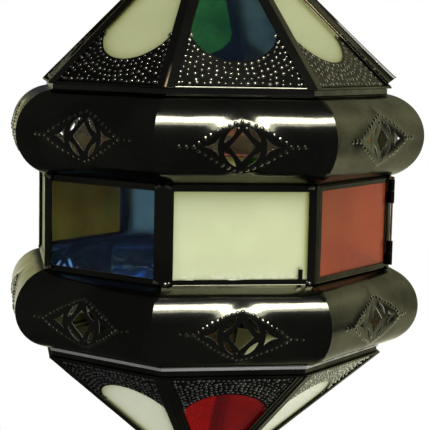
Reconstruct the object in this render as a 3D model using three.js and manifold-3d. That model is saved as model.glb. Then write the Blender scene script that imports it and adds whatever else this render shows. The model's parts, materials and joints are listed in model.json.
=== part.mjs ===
// An eight-sided hanging lantern of black sheet metal and coloured glass.
// A band of eight upright panes stands between two hollow rolls. A roof of eight sloping panes
// closes it above, with a dome, a loop and a hanging ring, and a base of the same kind below.
// One face of the band is a door on a hinge pin. Millimetres, +Z up, front pane towards -Y.
// Heights are counted from the middle of the band, and the last group moves the hook point to zero.
// A face is built as the front one, in its own plane, and then turned into its place.

import * as THREE from "three";
import { mergeVertices } from "three/addons/utils/BufferGeometryUtils.js";
import Module from "manifold-3d";

const wasm = await Module();
wasm.setup();

// Sheet, glass and clearances
const SIDES = 8;
const SHEET = 0.8;
const GLASS = 2;
const GAP = 0.3;

// Band
const BAND_APOTHEM = 116.4;
const BAND_HEIGHT = 63;
const POST_LEG = 5.5;
const TOP_RAIL = 4.2;
const BOTTOM_RAIL = 3.5;
const PANE_LAP = 2.5;

// Rolls
const ROLL_HEIGHT = 55.3;
const ROLL_BULGE = 22.2;
const ROLL_DRAW_IN = 3.8;
const ROLL_LIP = 3.5;
const ROLL_STEPS = 10;

// Cut motif in the middle of each roll piece
const DIAMOND_WIDTH = 16;
const DIAMOND_HEIGHT = 18.5;
const LEAF_OFFSET = 4.4;
const LEAF_LENGTH = 12.5;
const LEAF_WIDTH = 3.2;
const SPUR_START = 14.2;
const SPUR_LENGTH = 9.7;
const SPUR_HEIGHT = 11.6;
const SPUR_HOLLOW = 2;
// The front face's motifs are cut a little off centre, sideways and away from the band.
const UPPER_MOTIF_SHIFT = [-2.5, -2.5];
const LOWER_MOTIF_SHIFT = [-0.5, 1.2];

// Roof and base
const ROOF_STEP_OUT = 0.8;
const BASE_STEP_IN = 0.9;
const ROOF_RISE = 119;
const BASE_DROP = 106;
const ROOF_TOP_APOTHEM = 22;
const BASE_TOP_APOTHEM = 15;
const RIM_THICKNESS = 1.2;
const RIM_OUT = 2;
const SKIRT_HEIGHT = 5;
const ROOF_PLATE_DEPTH = 21.3;
const BASE_PLATE_DEPTH = 20.8;
const ARCH_RADIUS = 28.5;
const ARCH_SHARE = 0.82;
const STRIP_LEG = 5.5;
const TOP_FLANGE = 5.5;
const DISC_THICKNESS = 1.5;
const DISC_OVERHANG = 2;

// Folded tabs that hold the glass from behind
const TAB_WIDTH = 6;
const TAB_LAP = 1.8;
const TAB_SPACING = 30;

// Door, in the face to the right of the front one
const DOOR_FACE = 1;
const DOOR_POST_LEG = 3.2;
const DOOR_STOP = 2;
const DOOR_CLEARANCE = 0.5;
const DOOR_END_GAP = 1.2;
const DOOR_STILE = 3.5;
const DOOR_RAIL = 2.9;
const PIN_RADIUS = 0.7;
const PIN_HEAD_RADIUS = 1.4;
const PIN_HEAD_HEIGHT = 1.6;
const KNUCKLE_WALL = 0.5;
const KNUCKLE_LENGTH = 8;

// Crown and hanging ring
const DOME_RADIUS = 24;
const DOME_HEIGHT = 26;
const DOME_NECK = 8;
const TUBE_RADIUS = 5;
const TUBE_BORE = 3.5;
const THREAD_DEPTH = 5;
const HUB_RADIUS = 8;
const HUB_HEIGHT = 16;
const HUB_BORE_DEPTH = 12;
const CORD_HOLE_RADIUS = 2.7;
const EYE_WIRE = 2.2;
const EYE_HOLE = 8;
const EYE_ROOT = 2;
const RING_WIRE = 2;
const RING_RADIUS = 16;

// Lamp holder
const HOLDER_RADIUS = 13.5;
const HOLDER_LENGTH = 36;
const HOLDER_SHOULDER = 4;
const SOCKET_RADIUS = 7.2;
const SOCKET_DEPTH = 27;
const WIRE_HOLE_RADIUS = 2;

// Finial
const STUD_RADIUS = 2.5;
const FINIAL_RADIUS = 9;
const FINIAL_NECK = 4;
const FINIAL_LENGTH = 30;
const FINIAL_PLATE = 12;

// Places that follow from the sizes
const TURN = (2 * Math.PI) / SIDES;
const HALF_TAN = Math.tan(TURN / 2);
const BAND_HALF = BAND_HEIGHT / 2;
const FACE_HALF = BAND_APOTHEM * HALF_TAN;
const ROLL_END_APOTHEM = BAND_APOTHEM - ROLL_DRAW_IN;
const ROLL_END_Z = BAND_HALF + ROLL_HEIGHT;
const ROOF_APOTHEM = ROLL_END_APOTHEM + ROOF_STEP_OUT;
const BASE_APOTHEM = ROLL_END_APOTHEM - BASE_STEP_IN;
const RIM_LOW = ROLL_END_Z + ROLL_LIP + GAP;
const RIM_HIGH = RIM_LOW + RIM_THICKNESS;
const POST_INNER = BAND_APOTHEM + GAP;
const POST_OUTER = POST_INNER + SHEET;
const PANE_DEPTH = SHEET + GAP;
const TAB_DEPTH = PANE_DEPTH + GLASS + GAP;
const SOCKET_HOLE = TUBE_RADIUS + GAP;
const BEYOND = 60;

// Materials
const metal = new THREE.MeshStandardMaterial({ color: 0x14130f, roughness: 0.3, metalness: 1 });
const brass = new THREE.MeshStandardMaterial({ color: 0xa98445, roughness: 0.4, metalness: 1 });
const ceramic = new THREE.MeshStandardMaterial({ color: 0xe6e1d4, roughness: 0.5, metalness: 0 });

function glassOf(color) {
  const look = { color, roughness: 0.15, metalness: 0, transparent: true, opacity: 0.5 };
  return new THREE.MeshStandardMaterial(look);
}
const white = glassOf(0xcdd0ae);
const blue = glassOf(0x3f6c93);
const red = glassOf(0xb8402b);
const green = glassOf(0x4fae45);
const amber = glassOf(0xc07a1c);
const ROOF_COLOURS = [blue, white, red, white, green, white, amber, white];
const BAND_COLOURS = [white, red, white, green, white, amber, white, blue];
const BASE_COLOURS = [red, white, blue, white, amber, white, green, white];

// Solids and meshes

function solidOf(geometry) {
  const bare = geometry.clone();
  bare.deleteAttribute("normal");
  bare.deleteAttribute("uv");
  const merged = mergeVertices(bare, 1e-4);
  const vertProperties = merged.attributes.position.array;
  const triVerts = new Uint32Array(merged.index.array);
  return new wasm.Manifold(new wasm.Mesh({ numProp: 3, vertProperties, triVerts }));
}

function geometryOf(solid) {
  const mesh = solid.getMesh();
  const geometry = new THREE.BufferGeometry();
  geometry.setAttribute("position", new THREE.BufferAttribute(mesh.vertProperties, 3));
  geometry.setIndex(new THREE.BufferAttribute(mesh.triVerts, 1));
  geometry.computeVertexNormals();
  return geometry;
}

function joined(solids) {
  return solids.reduce((whole, next) => whole.add(next));
}

function meshOf(name, geometry, material) {
  const mesh = new THREE.Mesh(geometry, material);
  mesh.name = name;
  return mesh;
}

function block(xLow, xHigh, yLow, yHigh, zLow, zHigh) {
  const geometry = new THREE.BoxGeometry(xHigh - xLow, yHigh - yLow, zHigh - zLow);
  return geometry.translate((xLow + xHigh) / 2, (yLow + yHigh) / 2, (zLow + zHigh) / 2);
}

// A flat outline of [x, y] points, pushed along +Z from low to high.
function prism(points, low, high) {
  const shape = new THREE.Shape(points.map(([x, y]) => new THREE.Vector2(x, y)));
  const geometry = new THREE.ExtrudeGeometry(shape, { depth: high - low, bevelEnabled: false });
  return geometry.translate(0, 0, low);
}

// A closed profile of [radius, z] points, turned about +Z.
function turned(profile, segments) {
  const points = profile.map(([radius, z]) => new THREE.Vector2(radius, z));
  return new THREE.LatheGeometry(points, segments).rotateX(Math.PI / 2);
}

function upright(radius, low, high, segments) {
  const geometry = new THREE.CylinderGeometry(radius, radius, high - low, segments);
  return geometry.rotateX(Math.PI / 2).translate(0, 0, (low + high) / 2);
}

function tube(inner, outer, low, high, segments) {
  const profile = [
    [inner, low],
    [outer, low],
    [outer, high],
    [inner, high],
    [inner, low],
  ];
  return turned(profile, segments);
}

// A ring with a flat face to the front, from a closed profile of [apothem, z] points.
function mitredRing(profile) {
  const toCorner = 1 / Math.cos(TURN / 2);
  const corners = profile.map(([apothem, z]) => [apothem * toCorner, z]);
  return turned(corners, SIDES).rotateZ(TURN / 2);
}

// A solid built on the front face, turned to another one.
function toFace(solid, face) {
  return solid.rotate([0, 0, THREE.MathUtils.radToDeg(face * TURN)]);
}

const ALL_FACES = Array.from({ length: SIDES }, (_, face) => face);
const FIXED_FACES = ALL_FACES.filter((face) => face !== DOOR_FACE);

// A tab that folds round the edge of the glass, with its length along X. Its section runs across
// the edge, which is at y = 0 with the glass towards +Y, and goes back from the sheet's face.
function tab() {
  const section = [
    [-GAP, -SHEET / 2],
    [-GAP - SHEET, -SHEET / 2],
    [-GAP - SHEET, -TAB_DEPTH - SHEET],
    [TAB_LAP, -TAB_DEPTH - SHEET],
    [TAB_LAP, -TAB_DEPTH],
    [-GAP, -TAB_DEPTH],
  ];
  const geometry = prism(section.reverse(), -TAB_WIDTH / 2, TAB_WIDTH / 2);
  return geometry.applyMatrix4(
    new THREE.Matrix4().makeBasis(
      new THREE.Vector3(0, 1, 0),
      new THREE.Vector3(0, 0, 1),
      new THREE.Vector3(1, 0, 0),
    ),
  );
}

// A pair of tabs in the front face's upright plane, on a pane edge at height z.
function uprightTabs(z, upwards) {
  const tabs = [-1, 1].map((side) => {
    const geometry = tab().rotateX(Math.PI / 2);
    if (!upwards) {
      geometry.rotateY(Math.PI);
    }
    return solidOf(geometry.translate((side * TAB_SPACING) / 2, -BAND_APOTHEM, z));
  });
  return joined(tabs);
}

// Band

const paneLow = -BAND_HALF + BOTTOM_RAIL - PANE_LAP;
const paneHigh = BAND_HALF - TOP_RAIL + PANE_LAP;
const paneHalf = FACE_HALF - POST_LEG + PANE_LAP;

function bandPane() {
  const back = -BAND_APOTHEM + PANE_DEPTH;
  return block(-paneHalf, paneHalf, back, back + GLASS, paneLow, paneHigh);
}

// The leg of a post at the right-hand edge of the front face, or at its left-hand edge.
function postLeg(side, width) {
  const height = BAND_HALF - GAP;
  const inner = side * (FACE_HALF - width);
  const outer = side * BEYOND;
  const low = Math.min(inner, outer);
  const high = Math.max(inner, outer);
  return solidOf(block(low, high, -POST_OUTER, -POST_INNER, -height, height));
}

const legWidth = (face) => (face === DOOR_FACE ? DOOR_POST_LEG : POST_LEG);

// The folded post between a face and the next one on its right.
function cornerPost(face) {
  const height = BAND_HALF - GAP;
  const sleeve = [
    [POST_INNER, -height],
    [POST_OUTER, -height],
    [POST_OUTER, height],
    [POST_INNER, height],
    [POST_INNER, -height],
  ];
  const next = (face + 1) % SIDES;
  const legs = toFace(postLeg(1, legWidth(face)), face).add(
    toFace(postLeg(-1, legWidth(next)), next),
  );
  const post = solidOf(mitredRing(sleeve)).intersect(legs);
  if (face !== DOOR_FACE) {
    return post;
  }
  return post.add(toFace(joined(knuckleLows.post.map(postKnuckle)), DOOR_FACE));
}

// Rolls

// The section of the upper roll: a rail, a swelling arc and an upright lip, all one sheet thick.
function rollProfile() {
  const run = ROLL_END_APOTHEM - BAND_APOTHEM;
  const chord = Math.hypot(run, ROLL_HEIGHT);
  const radius = (chord * chord) / (8 * ROLL_BULGE) + ROLL_BULGE / 2;
  const back = radius - ROLL_BULGE;
  const centreX = (BAND_APOTHEM + ROLL_END_APOTHEM) / 2 - (back * ROLL_HEIGHT) / chord;
  const centreZ = BAND_HALF + ROLL_HEIGHT / 2 + (back * run) / chord;
  const arc = (bend, inset) => {
    const start = -Math.acos((BAND_APOTHEM - inset - centreX) / bend);
    const end = Math.acos((ROLL_END_APOTHEM - inset - centreX) / bend);
    return Array.from({ length: ROLL_STEPS + 1 }, (_, step) => {
      const angle = start + ((end - start) * step) / ROLL_STEPS;
      return [centreX + bend * Math.cos(angle), centreZ + bend * Math.sin(angle)];
    });
  };
  const railEnd = BAND_HALF - TOP_RAIL;
  const lipEnd = ROLL_END_Z + ROLL_LIP;
  return [
    [BAND_APOTHEM - SHEET, railEnd],
    [BAND_APOTHEM, railEnd],
    ...arc(radius, 0),
    [ROLL_END_APOTHEM, lipEnd],
    [ROLL_END_APOTHEM - SHEET, lipEnd],
    ...arc(radius - SHEET, SHEET).reverse(),
    [BAND_APOTHEM - SHEET, railEnd],
  ];
}

// The openwork in the front piece of a roll, as a solid that cuts through its bulge.
function motif(z) {
  const shapes = [];
  const halfWidth = DIAMOND_WIDTH / 2;
  const halfHeight = DIAMOND_HEIGHT / 2;
  const side = Math.hypot(halfWidth, halfHeight);
  const diamond = new THREE.Shape();
  diamond.moveTo(halfWidth, 0);
  diamond.lineTo(0, halfHeight);
  diamond.lineTo(-halfWidth, 0);
  diamond.lineTo(0, -halfHeight);
  shapes.push(diamond);
  for (const [right, up] of [[1, 1], [-1, 1], [-1, -1], [1, -1]]) {
    const along = new THREE.Vector2((right * halfWidth) / side, (-up * halfHeight) / side);
    const out = new THREE.Vector2((right * halfHeight) / side, (up * halfWidth) / side);
    const middle = new THREE.Vector2((right * halfWidth) / 2, (up * halfHeight) / 2);
    middle.addScaledVector(out, LEAF_OFFSET);
    const tipA = middle.clone().addScaledVector(along, -LEAF_LENGTH / 2);
    const tipB = middle.clone().addScaledVector(along, LEAF_LENGTH / 2);
    const bulgeOut = middle.clone().addScaledVector(out, LEAF_WIDTH);
    const bulgeIn = middle.clone().addScaledVector(out, -LEAF_WIDTH);
    const leaf = new THREE.Shape();
    leaf.moveTo(tipA.x, tipA.y);
    leaf.quadraticCurveTo(bulgeOut.x, bulgeOut.y, tipB.x, tipB.y);
    leaf.quadraticCurveTo(bulgeIn.x, bulgeIn.y, tipA.x, tipA.y);
    shapes.push(leaf);
  }
  for (const right of [1, -1]) {
    const start = right * SPUR_START;
    const tip = right * (SPUR_START + SPUR_LENGTH);
    const waist = right * (SPUR_START + SPUR_LENGTH / 2 - SPUR_HOLLOW);
    const spur = new THREE.Shape();
    spur.moveTo(start, -SPUR_HEIGHT / 2);
    spur.quadraticCurveTo(waist, -SPUR_HOLLOW / 2, tip, 0);
    spur.quadraticCurveTo(waist, SPUR_HOLLOW / 2, start, SPUR_HEIGHT / 2);
    spur.quadraticCurveTo(start + right * SPUR_HOLLOW, 0, start, -SPUR_HEIGHT / 2);
    shapes.push(spur);
  }
  const depth = BEYOND;
  const cuts = shapes.map((shape) => {
    const geometry = new THREE.ExtrudeGeometry(shape, {
      depth,
      bevelEnabled: false,
      curveSegments: 4,
    });
    geometry.rotateX(Math.PI / 2);
    return solidOf(geometry.translate(0, -BAND_APOTHEM - SHEET, z));
  });
  return joined(cuts);
}

// The shape that both rolls share, standing above the band.
function plainRoll([sideways, outwards]) {
  const cuts = motif(BAND_HALF + ROLL_HEIGHT / 2);
  const frontCuts = cuts.translate([sideways, 0, outwards]);
  return ALL_FACES.reduce(
    (roll, face) => roll.subtract(face === 0 ? frontCuts : toFace(cuts, face)),
    solidOf(mitredRing(rollProfile())),
  );
}

// The rail is cut back to a narrow stop where the door's pane passes, and the other faces get tabs.
function finishedRoll(roll, edge, upwards) {
  const stop = BAND_HALF - DOOR_STOP;
  const half = FACE_HALF - DOOR_POST_LEG + DOOR_CLEARANCE;
  const passage = block(-half, half, -POST_OUTER, -BAND_APOTHEM + TAB_DEPTH, -stop, stop);
  const tabs = joined(FIXED_FACES.map((face) => toFace(uprightTabs(edge, upwards), face)));
  return roll.subtract(toFace(solidOf(passage), DOOR_FACE)).add(tabs);
}

function upperRoll() {
  return finishedRoll(plainRoll(UPPER_MOTIF_SHIFT), paneHigh, false);
}

// The lower roll is the upper one upside down, with a lower rail.
function lowerRoll() {
  const trim = block(-BEYOND * 3, BEYOND * 3, -BEYOND * 3, BEYOND * 3, -BEYOND, BAND_HALF - BOTTOM_RAIL);
  const roll = plainRoll(LOWER_MOTIF_SHIFT).subtract(solidOf(trim)).mirror([0, 0, 1]);
  return finishedRoll(roll, paneLow, true);
}

// Door

const doorHalf = FACE_HALF - DOOR_POST_LEG - GAP;
const doorHeight = BAND_HALF - DOOR_END_GAP;
const knuckleBore = PIN_RADIUS + GAP;
const knuckleRadius = knuckleBore + KNUCKLE_WALL;
const pinX = FACE_HALF - knuckleRadius;
const pinY = -(POST_OUTER + GAP + knuckleRadius);
const knuckleTop = BAND_HALF - GAP - PIN_HEAD_HEIGHT - GAP;
const knuckleLows = {
  door: [knuckleTop - KNUCKLE_LENGTH, -knuckleTop + KNUCKLE_LENGTH + GAP],
  post: [knuckleTop - 2 * KNUCKLE_LENGTH - GAP, -knuckleTop],
};

// A rolled knuckle with a leaf that reaches from the pin over the post to the door's stile.
function knuckle(low, leaf) {
  const high = low + KNUCKLE_LENGTH;
  const barrel = solidOf(upright(knuckleRadius, low, high, 20).translate(pinX, pinY, 0));
  const bore = upright(knuckleBore, low - GAP, high + GAP, 16).translate(pinX, pinY, 0);
  return barrel.add(leaf).subtract(solidOf(bore));
}

function doorKnuckle(low) {
  const high = low + KNUCKLE_LENGTH;
  const back = pinY + knuckleRadius;
  const leaf = block(doorHalf - DOOR_STILE, pinX, back - SHEET, back, low, high);
  const seat = block(doorHalf - DOOR_STILE, doorHalf, back - SHEET, -POST_INNER, low, high);
  return knuckle(low, solidOf(leaf).add(solidOf(seat)));
}

// The post's own knuckle sits on its leg, under the door's knuckle.
function postKnuckle(low) {
  const high = low + KNUCKLE_LENGTH;
  const foot = block(pinX - SHEET, pinX + SHEET, pinY, -POST_INNER - SHEET / 2, low, high);
  return knuckle(low, solidOf(foot));
}

const doorPaneHalf = doorHalf - 2 * GAP - SHEET;
const doorPaneHeight = BAND_HALF - DOOR_STOP - DOOR_CLEARANCE;

function doorFrame() {
  const sheet = block(-doorHalf, doorHalf, -POST_OUTER, -POST_INNER, -doorHeight, doorHeight);
  const windowHalf = doorHalf - DOOR_STILE;
  const windowHeight = doorHeight - DOOR_RAIL;
  const opening = block(
    -windowHalf,
    windowHalf,
    -POST_OUTER - SHEET,
    -POST_INNER + SHEET,
    -windowHeight,
    windowHeight,
  );
  const tabs = [];
  for (const side of [1, -1]) {
    for (const up of [1, -1]) {
      const geometry = tab().rotateX(Math.PI / 2).rotateY((side * Math.PI) / -2);
      const z = (up * TAB_SPACING) / 2;
      tabs.push(solidOf(geometry.translate(side * doorPaneHalf, -POST_OUTER, z)));
    }
  }
  const frame = solidOf(sheet).subtract(solidOf(opening)).add(joined(tabs));
  return toFace(frame.add(joined(knuckleLows.door.map(doorKnuckle))), DOOR_FACE);
}

function doorPane() {
  const back = -POST_OUTER + PANE_DEPTH;
  const pane = block(
    -doorPaneHalf,
    doorPaneHalf,
    back,
    back + GLASS,
    -doorPaneHeight,
    doorPaneHeight,
  );
  return pane.rotateZ(DOOR_FACE * TURN);
}

// The pin runs through all four knuckles, and its head rests on the top one.
function hingePin() {
  const profile = [
    [0, -knuckleTop],
    [PIN_RADIUS, -knuckleTop],
    [PIN_RADIUS, knuckleTop + GAP],
    [PIN_HEAD_RADIUS, knuckleTop + GAP],
    [PIN_HEAD_RADIUS, knuckleTop + GAP + PIN_HEAD_HEIGHT / 2],
    [PIN_RADIUS, knuckleTop + GAP + PIN_HEAD_HEIGHT],
    [0, knuckleTop + GAP + PIN_HEAD_HEIGHT],
  ];
  return turned(profile, 16).translate(pinX, pinY, 0).rotateZ(DOOR_FACE * TURN);
}

// Roof and base: a cone of flat faces, measured from its foot at the rim

function cone(apothem, rise, topApothem, plateDepth) {
  const slant = Math.hypot(apothem, rise);
  const sine = rise / slant;
  const cosine = apothem / slant;
  const foot = RIM_HIGH + SHEET / 2;
  const top = foot + ((apothem - topApothem) * rise) / apothem;
  return { apothem, rise, topApothem, plateDepth, sine, cosine, foot, top };
}
const roof = cone(ROOF_APOTHEM, ROOF_RISE, ROOF_TOP_APOTHEM, ROOF_PLATE_DEPTH);
const base = cone(BASE_APOTHEM, BASE_DROP, BASE_TOP_APOTHEM, BASE_PLATE_DEPTH);

// Half the width of a sloping face, at a distance up its slope, clear of its neighbours down to
// a depth under its face.
function slopeHalf(place, up, depth) {
  const mitre = depth * place.sine * HALF_TAN;
  return (place.apothem - up * place.cosine) * HALF_TAN - mitre - GAP;
}

function slopePane(place) {
  const low = place.plateDepth - PANE_LAP;
  const high = (place.apothem - place.topApothem) / place.cosine - PANE_DEPTH;
  const back = PANE_DEPTH + GLASS;
  const wide = slopeHalf(place, low, back);
  const narrow = slopeHalf(place, high, back);
  const outline = [
    [-wide, low],
    [wide, low],
    [narrow, high],
    [-narrow, high],
  ];
  return prism(outline, -back, -PANE_DEPTH);
}

// The punched plate along the rim, with its arched upper edge and the tabs behind the pane.
function archPlate(place) {
  const low = SHEET;
  const high = place.plateDepth + ARCH_RADIUS * ARCH_SHARE;
  const wide = slopeHalf(place, low, SHEET);
  const narrow = slopeHalf(place, high, SHEET);
  const outline = [
    [-wide, low],
    [wide, low],
    [narrow, high],
    [-narrow, high],
  ];
  const arch = upright(ARCH_RADIUS, -2 * SHEET, SHEET, 48);
  arch.translate(0, place.plateDepth + ARCH_RADIUS, 0);
  const edge = place.plateDepth - PANE_LAP;
  const tabs = [-1, 1].map((side) => solidOf(tab().translate((side * TAB_SPACING) / 2, edge, 0)));
  return solidOf(prism(outline, -SHEET, 0)).subtract(solidOf(arch)).add(joined(tabs));
}

// A thin cone of sheet above the faces, from one height to another.
function coneShell(place, low, high) {
  const at = (z, above) =>
    place.apothem - ((z - place.foot) * place.apothem) / place.rise + above / place.sine;
  const profile = [
    [at(low, GAP), low],
    [at(low, GAP + SHEET), low],
    [at(high, GAP + SHEET), high],
    [at(high, GAP), high],
    [at(low, GAP), low],
  ];
  return solidOf(mitredRing(profile));
}

// Eight ridge strips on a rim and its skirt, closed at the top by a disc with a round hole.
function coneFrame(place, holeRadius) {
  const low = RIM_LOW + RIM_THICKNESS / 2;
  const shell = coneShell(place, low, place.top);
  const slabs = ALL_FACES.map((face) => {
    const slab = solidOf(block(-STRIP_LEG, STRIP_LEG, -BEYOND * 3, 0, low, place.top));
    return toFace(slab, face + 1 / 2);
  });
  const flangeLow = place.top - (TOP_FLANGE * place.rise) / place.apothem;
  const flange = coneShell(place, flangeLow, place.top);
  const rimInner = ROLL_END_APOTHEM - 2 * SHEET - GAP;
  const rim = [
    [rimInner, RIM_LOW - SKIRT_HEIGHT],
    [rimInner + SHEET, RIM_LOW - SKIRT_HEIGHT],
    [rimInner + SHEET, RIM_LOW],
    [place.apothem + RIM_OUT, RIM_LOW],
    [place.apothem + RIM_OUT, RIM_HIGH],
    [rimInner, RIM_HIGH],
    [rimInner, RIM_LOW - SKIRT_HEIGHT],
  ];
  const disc = tube(
    holeRadius,
    place.topApothem + DISC_OVERHANG,
    place.top,
    place.top + DISC_THICKNESS,
    32,
  );
  const strips = shell.intersect(joined(slabs));
  return joined([strips, flange, solidOf(mitredRing(rim)), solidOf(disc)]);
}

// Crown, from the roof's disc upwards

const domeLow = roof.top + DISC_THICKNESS + GAP;
const domeHigh = domeLow + DOME_HEIGHT;
const hubLow = domeHigh + GAP;
const hubHigh = hubLow + HUB_HEIGHT;
const eyeZ = hubHigh - EYE_ROOT + EYE_WIRE * 2 + EYE_HOLE;
const swingZ = eyeZ + EYE_HOLE - RING_WIRE - GAP;
const ringZ = swingZ + RING_RADIUS;
const hookZ = ringZ + RING_RADIUS - RING_WIRE;
const holderHigh = roof.top - GAP;
const holderLow = holderHigh - HOLDER_LENGTH;

function crownDome() {
  const steps = 6;
  const arc = (inset) =>
    Array.from({ length: steps + 1 }, (_, step) => {
      const angle = (step * Math.PI) / 2 / steps;
      const reach = DOME_RADIUS - DOME_NECK - inset;
      const height = (DOME_HEIGHT - inset) * Math.sin(angle);
      return [DOME_NECK + reach * Math.cos(angle), domeLow + height];
    });
  const profile = [
    ...arc(0),
    [SOCKET_HOLE, domeHigh],
    [SOCKET_HOLE, domeHigh - SHEET],
    ...arc(SHEET).reverse(),
    [DOME_RADIUS, domeLow],
  ];
  return turned(profile, 24);
}

function inletNipple() {
  const low = holderHigh - THREAD_DEPTH;
  return tube(TUBE_BORE, TUBE_RADIUS, low, hubLow + THREAD_DEPTH, 20);
}

// The loop screws onto the nipple, and its hub has a side hole for a cord.
function hangingLoop() {
  const hub = solidOf(upright(HUB_RADIUS, hubLow, hubHigh, 24));
  const bore = upright(SOCKET_HOLE, hubLow - GAP, hubLow + HUB_BORE_DEPTH, 20);
  const outletZ = hubLow + (THREAD_DEPTH + HUB_BORE_DEPTH) / 2 + GAP;
  const outlet = new THREE.CylinderGeometry(CORD_HOLE_RADIUS, CORD_HOLE_RADIUS, HUB_RADIUS * 2, 16);
  outlet.translate(0, HUB_RADIUS, outletZ);
  const eye = new THREE.TorusGeometry(EYE_HOLE + EYE_WIRE, EYE_WIRE, 8, 24);
  eye.rotateX(Math.PI / 2).translate(0, 0, eyeZ);
  return hub.subtract(solidOf(bore)).subtract(solidOf(outlet)).add(solidOf(eye));
}

function hangingRing() {
  const ring = new THREE.TorusGeometry(RING_RADIUS, RING_WIRE, 8, 32);
  return ring.rotateY(Math.PI / 2).translate(0, 0, ringZ);
}

function lampHolder() {
  const profile = [
    [SOCKET_RADIUS, holderLow],
    [HOLDER_RADIUS, holderLow],
    [HOLDER_RADIUS, holderHigh - HOLDER_SHOULDER],
    [HOLDER_RADIUS - HOLDER_SHOULDER, holderHigh],
    [SOCKET_HOLE, holderHigh],
    [SOCKET_HOLE, holderHigh - THREAD_DEPTH - GAP],
    [WIRE_HOLE_RADIUS, holderHigh - THREAD_DEPTH - GAP],
    [WIRE_HOLE_RADIUS, holderLow + SOCKET_DEPTH],
    [SOCKET_RADIUS, holderLow + SOCKET_DEPTH],
    [SOCKET_RADIUS, holderLow],
  ];
  return turned(profile, 24);
}

// The finial's stud passes up through the disc at the bottom, and its plate bears on it.
function bottomFinial() {
  const seat = -base.top - DISC_THICKNESS - GAP;
  const ballZ = seat - FINIAL_PLATE / 2 - FINIAL_RADIUS;
  const steps = 8;
  const ball = Array.from({ length: steps }, (_, step) => {
    const angle = -Math.PI / 2.6 + (step * Math.PI * 0.82) / (steps - 1);
    return [FINIAL_RADIUS * Math.cos(angle), ballZ + FINIAL_RADIUS * Math.sin(angle)];
  });
  const profile = [
    [0, seat - FINIAL_LENGTH],
    ...ball,
    [FINIAL_NECK, seat - SHEET * 4],
    [FINIAL_PLATE, seat - SHEET * 2],
    [FINIAL_PLATE, seat],
    [STUD_RADIUS, seat],
    [STUD_RADIUS, seat + 3 * DISC_THICKNESS + GAP],
    [0, seat + 3 * DISC_THICKNESS + GAP],
  ];
  return turned(profile, 24);
}

// The lantern

const lantern = new THREE.Group();
lantern.position.z = -hookZ;

for (const face of ALL_FACES) {
  const turn = new THREE.Group();
  turn.rotation.z = face * TURN;
  const number = face + 1;

  const roofSlope = new THREE.Group();
  roofSlope.position.set(0, -roof.apothem, roof.foot);
  roofSlope.rotation.x = Math.asin(roof.sine);
  roofSlope.add(meshOf(`roof_glass_${number}`, slopePane(roof), ROOF_COLOURS[face]));
  roofSlope.add(meshOf(`roof_plate_${number}`, geometryOf(archPlate(roof)), metal));

  const baseSlope = new THREE.Group();
  baseSlope.position.set(0, -base.apothem, -base.foot);
  baseSlope.rotation.set(-Math.asin(base.sine), Math.PI, 0);
  baseSlope.add(meshOf(`base_glass_${number}`, slopePane(base), BASE_COLOURS[face]));
  baseSlope.add(meshOf(`base_plate_${number}`, geometryOf(archPlate(base)), metal));

  turn.add(roofSlope, baseSlope);
  if (face !== DOOR_FACE) {
    turn.add(meshOf(`band_glass_${number}`, bandPane(), BAND_COLOURS[face]));
  }
  lantern.add(turn);
  lantern.add(meshOf(`corner_post_${number}`, geometryOf(cornerPost(face)), metal));
}

lantern.add(meshOf("upper_roll", geometryOf(upperRoll()), metal));
lantern.add(meshOf("lower_roll", geometryOf(lowerRoll()), metal));
lantern.add(meshOf("roof_frame", geometryOf(coneFrame(roof, SOCKET_HOLE)), metal));
const baseFrame = coneFrame(base, STUD_RADIUS + GAP).mirror([0, 0, 1]);
lantern.add(meshOf("base_frame", geometryOf(baseFrame), metal));
lantern.add(meshOf("door_frame", geometryOf(doorFrame()), metal));
lantern.add(meshOf("door_glass", doorPane(), BAND_COLOURS[DOOR_FACE]));
lantern.add(meshOf("hinge_pin", hingePin(), brass));
lantern.add(meshOf("crown_dome", crownDome(), metal));
lantern.add(meshOf("inlet_nipple", inletNipple(), brass));
lantern.add(meshOf("hanging_loop", geometryOf(hangingLoop()), metal));
lantern.add(meshOf("hanging_ring", hangingRing(), metal));
lantern.add(meshOf("lamp_holder", lampHolder(), ceramic));
lantern.add(meshOf("bottom_finial", bottomFinial(), metal));

export default lantern;
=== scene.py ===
"""Looks of an eight-sided hanging lantern of black sheet metal and coloured glass.

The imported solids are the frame. Pressed and folded sheet, panes, door, hinge, crown and finial
are built here in millimetres from the middle of the band, and placed in the frame's metres.
"""

from __future__ import annotations

import json
import logging
import math
from dataclasses import dataclass, field
from enum import Enum
from typing import Callable, Iterable, Mapping, Sequence

import bmesh
import bpy
from bpy.types import Material, Mesh, Object
from mathutils import Matrix, Vector, noise
from mathutils.geometry import delaunay_2d_cdt


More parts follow.
